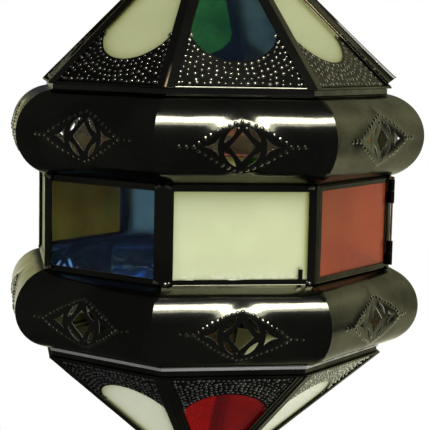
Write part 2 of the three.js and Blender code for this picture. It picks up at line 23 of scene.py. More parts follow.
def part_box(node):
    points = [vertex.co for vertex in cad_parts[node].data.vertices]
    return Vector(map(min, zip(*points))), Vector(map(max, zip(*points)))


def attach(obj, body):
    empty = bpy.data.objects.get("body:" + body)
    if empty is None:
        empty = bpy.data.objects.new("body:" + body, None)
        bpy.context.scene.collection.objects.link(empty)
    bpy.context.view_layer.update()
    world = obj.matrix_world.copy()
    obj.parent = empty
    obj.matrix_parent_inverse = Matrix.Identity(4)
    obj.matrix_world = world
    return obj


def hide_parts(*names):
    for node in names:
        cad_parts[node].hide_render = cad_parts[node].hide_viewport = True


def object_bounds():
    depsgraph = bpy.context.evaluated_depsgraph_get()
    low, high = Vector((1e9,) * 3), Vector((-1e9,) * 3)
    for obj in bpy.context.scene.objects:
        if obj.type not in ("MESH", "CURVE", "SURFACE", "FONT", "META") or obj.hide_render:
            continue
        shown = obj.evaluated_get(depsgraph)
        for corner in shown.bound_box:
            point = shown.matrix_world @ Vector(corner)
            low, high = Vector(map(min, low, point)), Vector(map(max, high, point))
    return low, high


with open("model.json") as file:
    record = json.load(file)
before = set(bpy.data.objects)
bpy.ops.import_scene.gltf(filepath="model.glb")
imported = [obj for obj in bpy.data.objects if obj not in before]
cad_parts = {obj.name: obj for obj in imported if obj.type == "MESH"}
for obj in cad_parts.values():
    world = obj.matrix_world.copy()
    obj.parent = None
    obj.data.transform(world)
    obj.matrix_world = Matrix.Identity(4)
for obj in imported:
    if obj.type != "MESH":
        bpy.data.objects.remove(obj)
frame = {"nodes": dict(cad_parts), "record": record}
CAD_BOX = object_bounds()

log = logging.getLogger("lantern")

Colour = tuple[float, float, float]
Sockets = Mapping[str | int, object]

# Sizes that several sub-assemblies share, in millimetres
MM = 0.001
SIDES = 8
TURN = 2 * math.pi / SIDES
HALF_TAN = math.tan(TURN / 2)
SHEET = 0.8
GLASS = 2.0
GAP = 0.3
BAND_APOTHEM = 116.4
BAND_HALF = 31.5
FACE_HALF = BAND_APOTHEM * HALF_TAN
POST_LEG = 5.5
DOOR_POST_LEG = 3.2
POST_INNER = BAND_APOTHEM + GAP
POST_OUTER = POST_INNER + SHEET
TOP_RAIL = 4.2
BOTTOM_RAIL = 3.5
PANE_LAP = 2.5
PANE_DEPTH = SHEET + GAP
TAB_SPACING = 30.0
TAB_WIDTH = 6.0
TAB_LINE = ((-0.7, -0.4), (-0.7, -3.8), (1.8, -3.8))
TAB_BEND = 0.7
ROLL_END_APOTHEM = 112.6
RIM_LOW = 90.6
RIM_HIGH = 91.8
DOOR_FACE = 1
FRONT_SHIFT = 1.5
# Radius of a bend in sheet
BEND = 1.3
# Angles in degrees above which an edge of a piece or of a dot stays sharp
CREASE = 32
DOT_CREASE = 70
# Refraction of window glass
GLASS_IOR = 1.46
# Height of the band's middle in the frame, in metres
MIDDLE = (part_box("upper_roll")[1].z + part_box("lower_roll")[0].z) / 2
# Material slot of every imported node
SLOT_OF = {row["node"]: row["material_slot"] for row in frame["record"]["subparts"]}


class Body(Enum):
    """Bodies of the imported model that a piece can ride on."""

    RING = "ring"
    LAMP = "lamp"
    DOOR = "door"


class End(Enum):
    """The lantern's end that a slope, rim or roll belongs to, as the sign of its heights."""

    UPPER = 1
    LOWER = -1


# Shader and geometry expressions


class Wire:
    """One value in a node tree, on which Python's operators add Math nodes."""

    def __init__(self, graph: Graph, socket: bpy.types.NodeSocket) -> None:
        """Keep the socket and the tree that it is in."""
        self.graph = graph
        self.socket = socket

    def math(self, operation: str, *values: Wire | float) -> Wire:
        """Return the result of a Math node, from values in the order of its sockets."""
        return self.graph.wire("ShaderNodeMath", {"operation": operation}, dict(enumerate(values)))

    def __add__(self, other: Wire | float) -> Wire:
        """Return the sum."""
        return self.math("ADD", self, other)

    def __sub__(self, other: Wire | float) -> Wire:
        """Return the difference."""
        return self.math("SUBTRACT", self, other)

    def __rsub__(self, other: float) -> Wire:
        """Return the difference from a number on the left."""
        return self.math("SUBTRACT", other, self)

    def __mul__(self, other: Wire | float) -> Wire:
        """Return the product."""
        return self.math("MULTIPLY", self, other)

    def __truediv__(self, other: Wire | float) -> Wire:
        """Return the quotient."""
        return self.math("DIVIDE", self, other)

    def ramp(self, low: float, high: float) -> Wire:
        """Return 0 below one value and 1 above another, with a smooth change between."""
        settings = {"interpolation_type": "SMOOTHSTEP", "clamp": True}
        return self.graph.wire("ShaderNodeMapRange", settings, {0: self, 1: low, 2: high})

    def clamped(self) -> Wire:
        """Return the value held between 0 and 1."""
        return self.math("MINIMUM", self.math("MAXIMUM", self, 0.0), 1.0)

    __radd__ = __add__
    __rmul__ = __mul__


class Graph:
    """A node tree that is built from expressions and calls."""

    def __init__(self, tree: bpy.types.NodeTree) -> None:
        """Empty the tree."""
        self.tree = tree
        tree.nodes.clear()

    def node(
        self,
        kind: str,
        settings: Mapping[str, object] | None = None,
        sockets: Sockets | None = None,
    ) -> bpy.types.Node:
        """Add a node, with its properties and its input sockets' values or links."""
        made = self.tree.nodes.new(kind)
        for name, value in (settings or {}).items():
            setattr(made, name, value)
        for key, value in (sockets or {}).items():
            self._feed(made.inputs[key], value)
        return made

    def wire(
        self,
        kind: str,
        settings: Mapping[str, object] | None = None,
        sockets: Sockets | None = None,
        output: str | int = 0,
    ) -> Wire:
        """Add a node and return one of its outputs."""
        return Wire(self, self.node(kind, settings, sockets).outputs[output])

    def _feed(self, socket: bpy.types.NodeSocket, value: object) -> None:
        """Link a socket or set its value."""
        if isinstance(value, Wire):
            self.tree.links.new(value.socket, socket)
        elif socket.type == "RGBA" and len(value) == 3:
            socket.default_value = (*value, 1.0)
        else:
            socket.default_value = value

    def mix(self, share: Wire | float, first: object, second: object) -> Wire:
        """Return a blend of two colours, where a share of 1 gives the second."""
        settings = {"data_type": "RGBA"}
        return self.wire("ShaderNodeMix", settings, {0: share, 6: first, 7: second}, 2)

    def blend(self, share: Wire | float, first: Wire, second: Wire) -> Wire:
        """Return a blend of two shaders, where a share of 1 gives the second."""
        return self.wire("ShaderNodeMixShader", None, {0: share, 1: first, 2: second})

    def principled(self, sockets: Sockets) -> Wire:
        """Return a Principled shader with these values and links."""
        return self.wire("ShaderNodeBsdfPrincipled", None, sockets)

    def ray(self, *kinds: str) -> Wire:
        """Return 1 for a ray of one of these kinds, such as Glossy, and 0 for any other."""
        path = self.node("ShaderNodeLightPath")
        wires = [Wire(self, path.outputs[f"Is {kind} Ray"]) for kind in kinds]
        return wires[0].math("MAXIMUM", *wires) if len(wires) > 1 else wires[0]

    def axes(self, point: Wire) -> tuple[Wire, ...]:
        """Return a point's X, Y and Z."""
        parts = self.node("ShaderNodeSeparateXYZ", None, {0: point})
        return tuple(Wire(self, parts.outputs[name]) for name in "XYZ")

    def coords(self) -> Wire:
        """Return the point in the object's own coordinates."""
        return self.wire("ShaderNodeTexCoord", output="Object")

    def noise(self, scale: float, detail: float) -> Wire:
        """Return noise from 0 to 1 over the object, from its waves per metre and octaves."""
        sockets = {"Vector": self.coords(), "Scale": scale, "Detail": detail}
        return self.wire("ShaderNodeTexNoise", None, sockets)

    def value_of(self, name: str) -> Wire:
        """Return a mesh attribute's value."""
        settings = {"attribute_name": name, "attribute_type": "GEOMETRY"}
        return self.wire("ShaderNodeAttribute", settings, output="Fac")

    def bump(self, height: Wire, distance: float, below: Wire | None = None) -> Wire:
        """Return a normal that a height disturbs, a height of 1 being a distance in metres."""
        sockets = {"Height": height, "Distance": distance}
        if below is not None:
            sockets["Normal"] = below
        return self.wire("ShaderNodeBump", None, sockets, "Normal")

    def finish(self, surface: Wire) -> None:
        """Link a shader to the material's output."""
        self.node("ShaderNodeOutputMaterial", None, {"Surface": surface})


def new_material(name: str) -> tuple[Material, Graph]:
    """Return an empty material and its graph."""
    material = bpy.data.materials.new(name)
    material.use_nodes = True
    return material, Graph(material.node_tree)


# Finishes


@dataclass(frozen=True)
class SheetFinish:
    """Black lacquered sheet iron with ripples from the hammer and smudges. Where the mesh's value
    attribute is above 0 a fold turns gold, partly lacquer rubbed off and partly a painted glint.
    Below 0 the sheet is tin without lacquer, and below -1 it turns pale and dull: a painted
    reflection on the lower roll's lip and a painted bright line on a ridge strip's bead."""

    name: str
    colour: Colour = (0.116, 0.115, 0.088)
    stained: Colour = (0.072, 0.071, 0.056)
    # Gold of the folds: partly lacquer rubbed off, partly a painted glint
    worn: Colour = (0.92, 0.70, 0.40)
    # Tin without lacquer inside the rolls, and the colour of the painted pale reflection and bright
    # line
    bare_and_painted_reflection: Colour = (0.50, 0.50, 0.47)
    edge: tuple[float, float, float, float] = (0.48, 0.48, 0.46, 1.0)
    roughness: float = 0.115
    ripple: float = 0.00028

    def build(self) -> Material:
        """Return the finish as a material."""
        material, graph = new_material(self.name)
        cloud = graph.noise(22, 3)
        grain = graph.noise(420, 3)
        speck = graph.noise(1500, 1)
        mark = graph.value_of("worn")
        worn = mark.clamped()
        bare_and_painted_reflection = (0.0 - mark).clamped()
        # Below -1 the sheet turns pale and dull: painted reflection and painted bright line
        painted_pale_reflection = (-1.0 - mark).clamped()
        stain = (cloud + grain * 0.35).ramp(0.50, 0.86)
        base = graph.mix(stain, self.colour, self.stained)
        # Painted glint: gold on the folds, partly lacquer rubbed off
        base = graph.mix(worn, base, self.worn)
        base = graph.mix(bare_and_painted_reflection, base, self.bare_and_painted_reflection)
        rough = self.roughness + 0.07 * cloud.ramp(0.45, 0.75) + 0.05 * speck.ramp(0.45, 0.7)
        rough = rough + 0.33 * worn + 0.08 * bare_and_painted_reflection
        wave = graph.bump(graph.noise(55, 1), self.ripple)
        wave = graph.bump(graph.noise(48, 1) * bare_and_painted_reflection, 0.0030, wave)
        normal = graph.bump(grain, 0.00002, wave)
        sockets = {
            "Base Color": base,
            "Metallic": 1 - 0.25 * bare_and_painted_reflection - 0.6 * painted_pale_reflection,
            "Specular Tint": self.edge,
            "Coat Weight": 0.15,
            "Coat Roughness": 0.30,
            "Roughness": rough,
            "Normal": normal,
        }
        graph.finish(graph.principled(sockets))
        return material


@dataclass(frozen=True)
class ClearGlass:
    """Coloured window glass with slow waves and a little dust, clear or partly milky."""

    name: str
    colour: Colour
    haze: float = 0.03
    waves: float = 0.00025
    milk: float = 0.04
    body: Colour = (0.10, 0.13, 0.16)

    def build(self) -> Material:
        """Return the finish as a material."""
        material, graph = new_material(self.name)
        cloud = graph.noise(30, 2)
        dust = graph.noise(260, 3)
        rough = self.haze + 0.05 * dust.ramp(0.55, 0.75)
        deeper = tuple(part * part**0.35 for part in self.colour)
        tint = graph.mix(cloud.ramp(0.35, 0.75), self.colour, deeper)
        normal = graph.bump(cloud, self.waves)
        sockets = {
            "Base Color": tint,
            "Roughness": rough,
            "IOR": GLASS_IOR,
            "Transmission Weight": 1.0,
            "Normal": normal,
        }
        one_face = tuple(math.sqrt(part) for part in self.colour)
        through = graph.wire("ShaderNodeBsdfTransparent", None, {"Color": one_face})
        clear = graph.blend(graph.ray("Shadow", "Diffuse"), graph.principled(sockets), through)
        sides = [
            graph.wire(kind, None, {"Color": self.body, "Normal": normal})
            for kind in ("ShaderNodeBsdfDiffuse", "ShaderNodeBsdfTranslucent")
        ]
        graph.finish(graph.blend(self.milk, clear, graph.blend(0.5, *sides)))
        return material


@dataclass(frozen=True)
class FrostedGlass:
    """Milky glass that glows in the light on both its sides, with painted shade, darker and
    yellower, where the sheet covers and borders it.
    """

    name: str
    colour: Colour
    edge: Colour
    through: Colour = (0.86, 0.88, 0.66)
    bright: Colour = (0.90, 0.92, 0.80)
    roughness: float = 0.38
    glow: float = 0.58
    edge_share: float = 0.75

    def build(self) -> Material:
        """Return the finish as a material."""
        material, graph = new_material(self.name)
        cloud = graph.noise(38, 3)
        mottle = graph.noise(900, 2)
        rim = graph.value_of("rim")
        paler = tuple(min(1.0, part * 1.07) for part in self.colour)
        spot = (0.0 - rim).clamped() * graph.noise(420, 1).ramp(0.38, 0.62)
        # Painted shade by the sheet, in the light through the glass and on its face
        behind = graph.mix(rim.clamped() * self.edge_share, self.through, self.edge)
        base = graph.mix(cloud.ramp(0.35, 0.7), self.colour, paler)
        base = graph.mix(rim.clamped() * self.edge_share, base, self.edge)
        base = graph.mix(spot, base, self.bright)
        normal = graph.bump(mottle, 0.00003, graph.bump(cloud, 0.0002))
        sockets = {
            "Base Color": base,
            "Roughness": self.roughness + 0.15 * mottle.ramp(0.4, 0.7),
            "IOR": GLASS_IOR,
            "Coat Weight": 0.25,
            "Coat Roughness": 0.12,
            "Normal": normal,
        }
        back = graph.wire("ShaderNodeBsdfTranslucent", None, {"Color": behind, "Normal": normal})
        graph.finish(graph.blend(self.glow, graph.principled(sockets), back))
        return material


@dataclass(frozen=True)
class PlainFinish:
    """Uncoated metal of pin, solder and dots, or glazed clay, with a soft stain and a fine grain.
    The dots' paleness is painted highlight and painted reflection.
    """

    name: str
    colour: Colour
    stained: Colour
    metallic: float
    roughness: float
    grain: float = 0.00002

    def build(self) -> Material:
        """Return the finish as a material."""
        material, graph = new_material(self.name)
        cloud = graph.noise(140, 3)
        fine = graph.noise(1600, 2)
        base = graph.mix(cloud.ramp(0.4, 0.75), self.colour, self.stained)
        sockets = {
            "Base Color": base,
            "Metallic": self.metallic,
            "Roughness": self.roughness + 0.14 * cloud.ramp(0.35, 0.8),
            "Normal": graph.bump(fine, self.grain),
        }
        graph.finish(graph.principled(sockets))
        return material


def metal(
    name: str,
    colour: Colour,
    stained: Colour,
    roughness: float,
) -> Material:
    """Return an uncoated metal's finish as a material."""
    return PlainFinish(name, colour, stained, 1.0, roughness).build()


class Finishes:
    """Every material of the lantern, built once."""

    def __init__(self) -> None:
        """Build the materials and key the panes' ones by node or by the record's slots."""
        self.sheet = SheetFinish("black_sheet").build()
        self.punched = SheetFinish(
            "punched_sheet", colour=(0.052, 0.051, 0.040), roughness=0.17, ripple=0.0006
        ).build()
        # Painted highlight: the roof's and dome's dots are pale metal so that they shine, partly
        # tops rubbed clean
        self.dots = metal("bright_dots", (0.58, 0.57, 0.48), (0.30, 0.29, 0.24), 0.15)
        # Painted reflection: the base's dots are pale grey as if mirroring the lit floor
        self.low_dots_painted_reflection = metal("grey_dots", (0.72, 0.74, 0.72), (0.42, 0.43, 0.42), 0.28)
        # The rolls' dots are lighter than the black lacquer so that they read as lit: painted light
        self.raised = metal("raised_dots", (0.24, 0.235, 0.19), (0.12, 0.115, 0.09), 0.13)
        self.brass = metal("dull_brass", (0.62, 0.44, 0.20), (0.34, 0.23, 0.11), 0.30)
        self.solder = metal("tin_solder", (0.34, 0.33, 0.29), (0.12, 0.115, 0.10), 0.32)
        self.ceramic = PlainFinish(
            "glazed_clay", (0.80, 0.78, 0.71), (0.70, 0.67, 0.58), 0.0, 0.22
        ).build()
        shaded = (0.42, 0.43, 0.13)
        blue = (0.05, 0.10, 0.20)
        red = (0.42, 0.015, 0.018)
        panes = {
            "glass_white": FrostedGlass("frosted_cream", (0.60, 0.63, 0.42), shaded),
            # Painted light: a paler copy of the cream glass for the base's panes, as if lit from
            # below
            "base_white_painted_lit": FrostedGlass("frosted_pale", (0.84, 0.85, 0.77), shaded),
            "glass_blue": ClearGlass("clear_blue", (0.15, 0.31, 0.76), milk=0.02, body=blue),
            "roof_glass_1": ClearGlass("dim_blue", (0.085, 0.160, 0.300), milk=0.02, body=blue),
            "glass_red": ClearGlass("clear_red", (0.42, 0.012, 0.014), milk=0.12, body=red),
            "door_glass": ClearGlass(
                "hazy_orange_red", (0.80, 0.12, 0.040), 0.14, 0.0002, 0.38, (0.48, 0.150, 0.072)
            ),
            "glass_green": ClearGlass("clear_green", (0.17, 0.62, 0.06), body=(0.06, 0.16, 0.05)),
            "glass_amber": ClearGlass(
                "clear_amber", (0.57, 0.25, 0.012), milk=0.02, body=(0.2, 0.1, 0.02)
            ),
        }
        self.panes = {key: finish.build() for key, finish in panes.items()}

    def of_pane(self, node: str) -> Material:
        """Return the finish of a packed pane, its own one or its slot's."""
        slot = SLOT_OF[node]
        # The base's cream panes take the paler copy, painted light
        if slot == "glass_white" and node.startswith("base"):
            slot = "base_white_painted_lit"
        return self.panes.get(node, self.panes[slot])


# Meshes


class Shell:
    """Points and faces of one body in millimetres, with one painted value for each point."""

    def __init__(self) -> None:
        """Start with no points."""
        self.points: list[Vector] = []
        self.faces: list[tuple[int, ...]] = []
        self.values: list[float] = []

    def add(
        self,
        points: Sequence[Vector],
        faces: Iterable[Sequence[int]],
        values: Sequence[float] | None = None,
    ) -> Shell:
        """Add points, faces numbered within them and a value for each, 0 if none is given."""
        start = len(self.points)
        self.points.extend(points)
        self.faces.extend(tuple(start + corner for corner in face) for face in faces)
        self.values.extend(values if values is not None else [0.0] * len(points))
        return self

    def join(self, other: Shell, matrix: Matrix | None = None) -> Shell:
        """Add another shell's mesh, moved by a matrix."""
        moved = other.points if matrix is None else [matrix @ point for point in other.points]
        return self.add(moved, other.faces, other.values)

    def flipped(self) -> Shell:
        """Turn the shell over about the band's middle, and return it."""
        self.points = [Vector((point.x, point.y, -point.z)) for point in self.points]
        return self

    def painted(self, paint: Callable[[Vector], float]) -> Shell:
        """Give each point its value from its place, and return this shell."""
        self.values = [paint(point) for point in self.points]
        return self


def loft(sections: Sequence[Sequence[Vector]], closed: bool = False) -> Shell:
    """Join closed loops of equal length, and the last to the first or else cap both ends."""
    count = len(sections[0])
    rows = len(sections)
    faces: list[tuple[int, ...]] = []
    for row in range(rows if closed else rows - 1):
        here = row * count
        there = (row + 1) % rows * count
        for corner in range(count):
            after = (corner + 1) % count
            faces.append((here + corner, here + after, there + after, there + corner))
    if not closed:
        faces.append(tuple(range(count - 1, -1, -1)))
        faces.append(tuple(range((rows - 1) * count, rows * count)))
    return Shell().add([point for section in sections for point in section], faces)


def flat(points: Iterable[Sequence[float]]) -> list[Vector]:
    """Return pairs of numbers as 2-D vectors."""
    return [Vector(point) for point in points]


def pulled(start: Vector, pull: Vector, end: Vector, share: float) -> Vector:
    """Return the point at a share of a line from start to end that a third point pulls aside."""
    rest = 1 - share
    return start * rest**2 + pull * 2 * share * rest + end * share**2


def rounded(line: Sequence[Vector], radius: float, steps: int) -> list[Vector]:
    """Return an open 2-D line with its corners rounded, but for those under 17 degrees."""
    sharp = 0.3
    most = 0.45
    smooth = [line[0]]
    for before, corner, after in zip(line, line[1:], line[2:]):
        back = before - corner
        ahead = after - corner
        turn = math.pi - back.angle(ahead)
        if turn < sharp:
            smooth.append(corner)
            continue
        cut = min(radius * math.tan(turn / 2), back.length * most, ahead.length * most)
        start = corner + back.normalized() * cut
        end = corner + ahead.normalized() * cut
        smooth += [pulled(start, corner, end, step / steps) for step in range(steps + 1)]
    smooth.append(line[-1])
    return smooth


def normals_of(line: Sequence[Vector]) -> list[Vector]:
    """Return the left-hand normals of an open 2-D line, longer at corners, as mitres need."""
    directions = [(after - before).normalized() for before, after in zip(line, line[1:])]
    normals = []
    for index in range(len(line)):
        before = directions[max(index - 1, 0)]
        after = directions[min(index, len(directions) - 1)]
        first = Vector((-before.y, before.x))
        both = (first + Vector((-after.y, after.x))).normalized()
        normals.append(both / max(both.dot(first), 0.3))
    return normals


def sheet_section(line: Sequence[Vector], thickness: float = SHEET) -> list[Vector]:
    """Return the closed outline of a bent sheet from the line along its middle."""
    normals = normals_of(line)
    left = [point + normal * thickness / 2 for point, normal in zip(line, normals)]
    right = [point - normal * thickness / 2 for point, normal in zip(line, normals)]
    return left + right[::-1]


def turned(profile: Sequence[Vector], segments: int) -> Shell:
    """Return a closed profile of [radius, height] points turned about +Z."""
    angles = (2 * math.pi * step / segments for step in range(segments))
    sections = [
        [Vector((r * math.cos(angle), r * math.sin(angle), z)) for r, z in profile]
        for angle in angles
    ]
    return loft(sections, closed=True)


def shifted(
    points: Iterable[tuple[float, float]], radius: float, height: float
) -> list[tuple[float, float]]:
    """Return [radius, height] points moved outwards and up."""
    return [(radius + out, height + up) for out, up in points]


def mitred(profile: Sequence[Vector], steps: int = 1) -> Shell:
    """Return a closed profile of [apothem, height] points set round the eight faces."""
    sections = []
    for face in range(SIDES):
        for step in range(steps):
            side = -1 + 2 * step / steps
            turn = face_turn(face)
            sections.append([turn @ Vector((side * a * HALF_TAN, -a, z)) for a, z in profile])
    return loft(sections, closed=True)


def prism(section: Iterable[Sequence[float]], heights: Iterable[float]) -> Shell:
    """Return a closed section of [x, y] points drawn up through heights."""
    outline = list(section)
    return loft([[Vector((x, y, z)) for x, y in outline] for z in heights])


def bent_tab() -> Shell:
    """Return a small bent tab, whose points are [back, depth, along its width]."""
    section = sheet_section(rounded(flat(TAB_LINE), TAB_BEND, 3))
    return prism(section, (-TAB_WIDTH / 2, TAB_WIDTH / 2))


def wire_ring(radius: float, wire: float, steps: int, around: int = 20) -> Shell:
    """Return a ring of round wire about +Z."""
    profile = []
    for step in range(around):
        angle = 2 * math.pi * step / around
        profile.append(Vector((radius + wire * math.cos(angle), wire * math.sin(angle))))
    return turned(profile, steps)


def face_turn(face: float) -> Matrix:
    """Return the turn from the front face to another one."""
    return Matrix.Rotation(face * TURN, 4, "Z")


FACES = range(SIDES)
FIXED_FACES = [face for face in FACES if face != DOOR_FACE]
AT_DOOR = face_turn(DOOR_FACE)


def placed(point: Vector) -> Vector:
    """Return a point in the frame's metres."""
    return Vector((point.x * MM, point.y * MM, point.z * MM + MIDDLE))


@dataclass(frozen=True)
class Mount:
    """What a finished piece rides on and stands for, with the name of its material slot."""

    body: Body
    slot: str
    nodes: tuple[str, ...] = ()


def on_lamp(slot: str, *nodes: str) -> Mount:
    """Return the mount of a piece that rides on the lamp."""
    return Mount(Body.LAMP, slot, nodes)


def new_object(name: str, data: bpy.types.ID) -> Object:
    """Return a new object in the scene."""
    made = bpy.data.objects.new(name, data)
    bpy.context.scene.collection.objects.link(made)
    return made


def new_mesh(name: str, shell: Shell) -> Mesh:
    """Return a shell's mesh, in the frame's metres."""
    mesh = bpy.data.meshes.new(name)
    mesh.from_pydata([placed(point) for point in shell.points], [], shell.faces)
    return mesh


def evaluated(piece: Object) -> Mesh:
    """Return a piece's mesh with its modifiers applied, and clear them."""
    graph = bpy.context.evaluated_depsgraph_get()
    result = bpy.data.meshes.new_from_object(piece.evaluated_get(graph), depsgraph=graph)
    piece.modifiers.clear()
    return result


def finish_mesh(mesh: Mesh, crease: float) -> None:
    """Merge doubles, turn faces outwards and shade smooth up to an angle in degrees."""
    limit = math.radians(crease)
    work = bmesh.new()
    work.from_mesh(mesh)
    bmesh.ops.remove_doubles(work, verts=work.verts, dist=2e-6)
    bmesh.ops.dissolve_degenerate(work, edges=work.edges, dist=1e-7)
    bmesh.ops.recalc_face_normals(work, faces=work.faces)
    for piece_face in work.faces:
        piece_face.smooth = True
    for edge in work.edges:
        edge.smooth = len(edge.link_faces) == 2 and edge.calc_face_angle(0.0) < limit
    work.to_mesh(mesh)
    work.free()
    mesh.update()


def mount(piece: Object, how: Mount) -> Object:
    """Make a piece ride on its body and the nodes that it stands for."""
    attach(piece, how.body.value)
    if how.nodes:
        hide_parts(*how.nodes)
    log.info("%s: %d faces on %s", piece.name, len(piece.data.polygons), how.body.value)
    return piece


def make_piece(
    name: str,
    shell: Shell,
    material: Material,
    how: Mount,
    crease: float = CREASE,
    value: str = "worn",
) -> Object:
    """Turn a shell into a finished piece.

    Args:
        name: The piece's name.
        shell: Its mesh in millimetres from the band's middle.
        material: Its finish.
        how: Its body, slot and replaced nodes.
        crease: Angle in degrees above which an edge stays sharp.
        value: Name of the attribute that holds the shell's values.

    Returns:
        The piece.
    """
    mesh = new_mesh(name, shell)
    layer = mesh.attributes.new(value, "FLOAT", "POINT")
    layer.data.foreach_set("value", shell.values)
    mesh.materials.append(material)
    finish_mesh(mesh, crease)
    return mount(new_object(name, mesh), how)


# Rows of marks


@dataclass
class Path:
    """A line of points on a surface, with the surface's outward direction at each."""

    points: list[Vector] = field(default_factory=list)
    outs: list[Vector] = field(default_factory=list)

    def add(self, point: Vector, out: Vector) -> None:
        """Add one point."""
        self.points.append(point)
        self.outs.append(out)

    def moved(self, matrix: Matrix) -> Path:
        """Return the path moved by a matrix."""
        turn = matrix.to_3x3()
        return Path([matrix @ point for point in self.points], [turn @ out for out in self.outs])


class MarkRows:
    """Geometry Nodes that set a small mark at even steps along every path of a mesh."""

    INPUTS = (
        ("Geometry", "Geometry"),
        ("Mark", "Object"),
        *((name, "Float") for name in ("Spacing", "Smallest", "Largest", "Jitter")),
        ("Seed", "Int"),
        ("Material", "Material"),
    )

    def __init__(self) -> None:
        """Build the tree once, with its named inputs."""
        self.tree = bpy.data.node_groups.new("rows_of_marks", "GeometryNodeTree")
        sides = self.tree.interface
        self.keys = {
            name: sides.new_socket(name, in_out="INPUT", socket_type="NodeSocket" + kind).identifier
            for name, kind in self.INPUTS
        }
        sides.new_socket("Geometry", in_out="OUTPUT", socket_type="NodeSocketGeometry")
        self._fill(Graph(self.tree))

    @staticmethod
    def _fill(graph: Graph) -> None:
        """Add the tree's nodes."""
        given = graph.node("NodeGroupInput")

        def taken(name: str) -> Wire:
            """Return one of the tree's inputs."""
            return Wire(graph, given.outputs[name])

        line = graph.wire("GeometryNodeMeshToCurve", None, {"Mesh": taken("Geometry")})
        line = graph.wire(
            "GeometryNodeResampleCurve",
            {"mode": "LENGTH"},
            {"Curve": line, "Length": taken("Spacing")},
        )
        out = graph.wire(
            "GeometryNodeInputNamedAttribute", {"data_type": "FLOAT_VECTOR"}, {"Name": "out"}
        )
        shake = graph.wire(
            "FunctionNodeRandomValue",
            {"data_type": "FLOAT_VECTOR"},
            {0: (-1, -1, -1), 1: (1, 1, 1), "Seed": taken("Seed")},
        )
        vectors = "ShaderNodeVectorMath"
        shake = graph.wire(vectors, {"operation": "CROSS_PRODUCT"}, {0: shake, 1: out})
        shake = graph.wire(vectors, {"operation": "SCALE"}, {0: shake, "Scale": taken("Jitter")})
        line = graph.wire("GeometryNodeSetPosition", None, {"Geometry": line, "Offset": shake})
        size = graph.wire(
            "FunctionNodeRandomValue",
            {"data_type": "FLOAT"},
            {2: taken("Smallest"), 3: taken("Largest"), "Seed": taken("Seed")},
            1,
        )
        turn = graph.wire("FunctionNodeAlignRotationToVector", {"axis": "Z"}, {"Vector": out})
        mark = graph.wire("GeometryNodeObjectInfo", None, {"Object": taken("Mark")}, "Geometry")
        marks = graph.wire(
            "GeometryNodeInstanceOnPoints",
            None,
            {"Points": line, "Instance": mark, "Rotation": turn, "Scale": size},
        )
        marks = graph.wire("GeometryNodeRealizeInstances", None, {"Geometry": marks})
        marks = graph.wire(
            "GeometryNodeSetMaterial", None, {"Geometry": marks, "Material": taken("Material")}
        )
        graph.node("NodeGroupOutput", None, {"Geometry": marks})

    def make(
        self,
        name: str,
        paths: Sequence[Path],
        mark: Shell,
        material: Material,
        how: Mount,
        spacing: float,
        sizes: tuple[float, float] = (0.85, 1.12),
        jitter: float = 0.12,
        seed: int = 1,
    ) -> Object:
        """Set marks along paths, as one plain mesh.

        Args:
            name: The piece's name.
            paths: Lines that the marks follow.
            mark: One mark in millimetres, with +Z out of the surface.
            material: The marks' finish.
            how: The piece's body and slot.
            spacing: Distance between marks, in millimetres.
            sizes: Smallest and largest scale of a mark.
            jitter: How far a mark may stand off its place, in millimetres.
            seed: Seed of both.

        Returns:
            The piece.
        """
        stamp_mesh = bpy.data.meshes.new(name + "_stamp")
        stamp_mesh.from_pydata([point * MM for point in mark.points], [], mark.faces)
        finish_mesh(stamp_mesh, DOT_CREASE)
        stamp = new_object(name + "_stamp", stamp_mesh)
        mesh = bpy.data.meshes.new(name)
        points: list[Vector] = []
        edges: list[tuple[int, int]] = []
        outs: list[float] = []
        for path in paths:
            start = len(points)
            points.extend(placed(point) for point in path.points)
            edges.extend((start + i, start + i + 1) for i in range(len(path.points) - 1))
            for out in path.outs:
                outs.extend(out)
        mesh.from_pydata(points, edges, [])
        mesh.attributes.new("out", "FLOAT_VECTOR", "POINT").data.foreach_set("vector", outs)
        piece = new_object(name, mesh)
        rows = piece.modifiers.new("rows", "NODES")
        rows.node_group = self.tree
        values = {
            "Mark": stamp,
            "Spacing": spacing * MM,
            "Smallest": sizes[0],
            "Largest": sizes[1],
            "Jitter": jitter * MM,
            "Seed": seed,
            "Material": material,
        }
        for key, value in values.items():
            rows[self.keys[key]] = value
        plain = evaluated(piece)
        piece.data = plain
        plain.name = name
        for spent in (stamp_mesh, mesh):
            bpy.data.meshes.remove(spent)
        if not plain.materials:
            plain.materials.append(material)
        return mount(piece, how)


def boss(radius: float, height: float, segments: int = 9) -> Shell:
    """Return a dot that a punch has pushed out of the sheet from behind."""
    shape = ((1.15, -0.06), (0.98, 0.10), (0.78, 0.42), (0.50, 0.80), (0.22, 0.97))
    rings = []
    for reach, rise in shape:
        ring = []
        for step in range(segments):
            angle = 2 * math.pi * step / segments
            across = (math.cos(angle) * reach * radius, math.sin(angle) * reach * radius)
            ring.append(Vector((*across, rise * height)))
        rings.append(ring)
    return loft(rings)


# Rolls


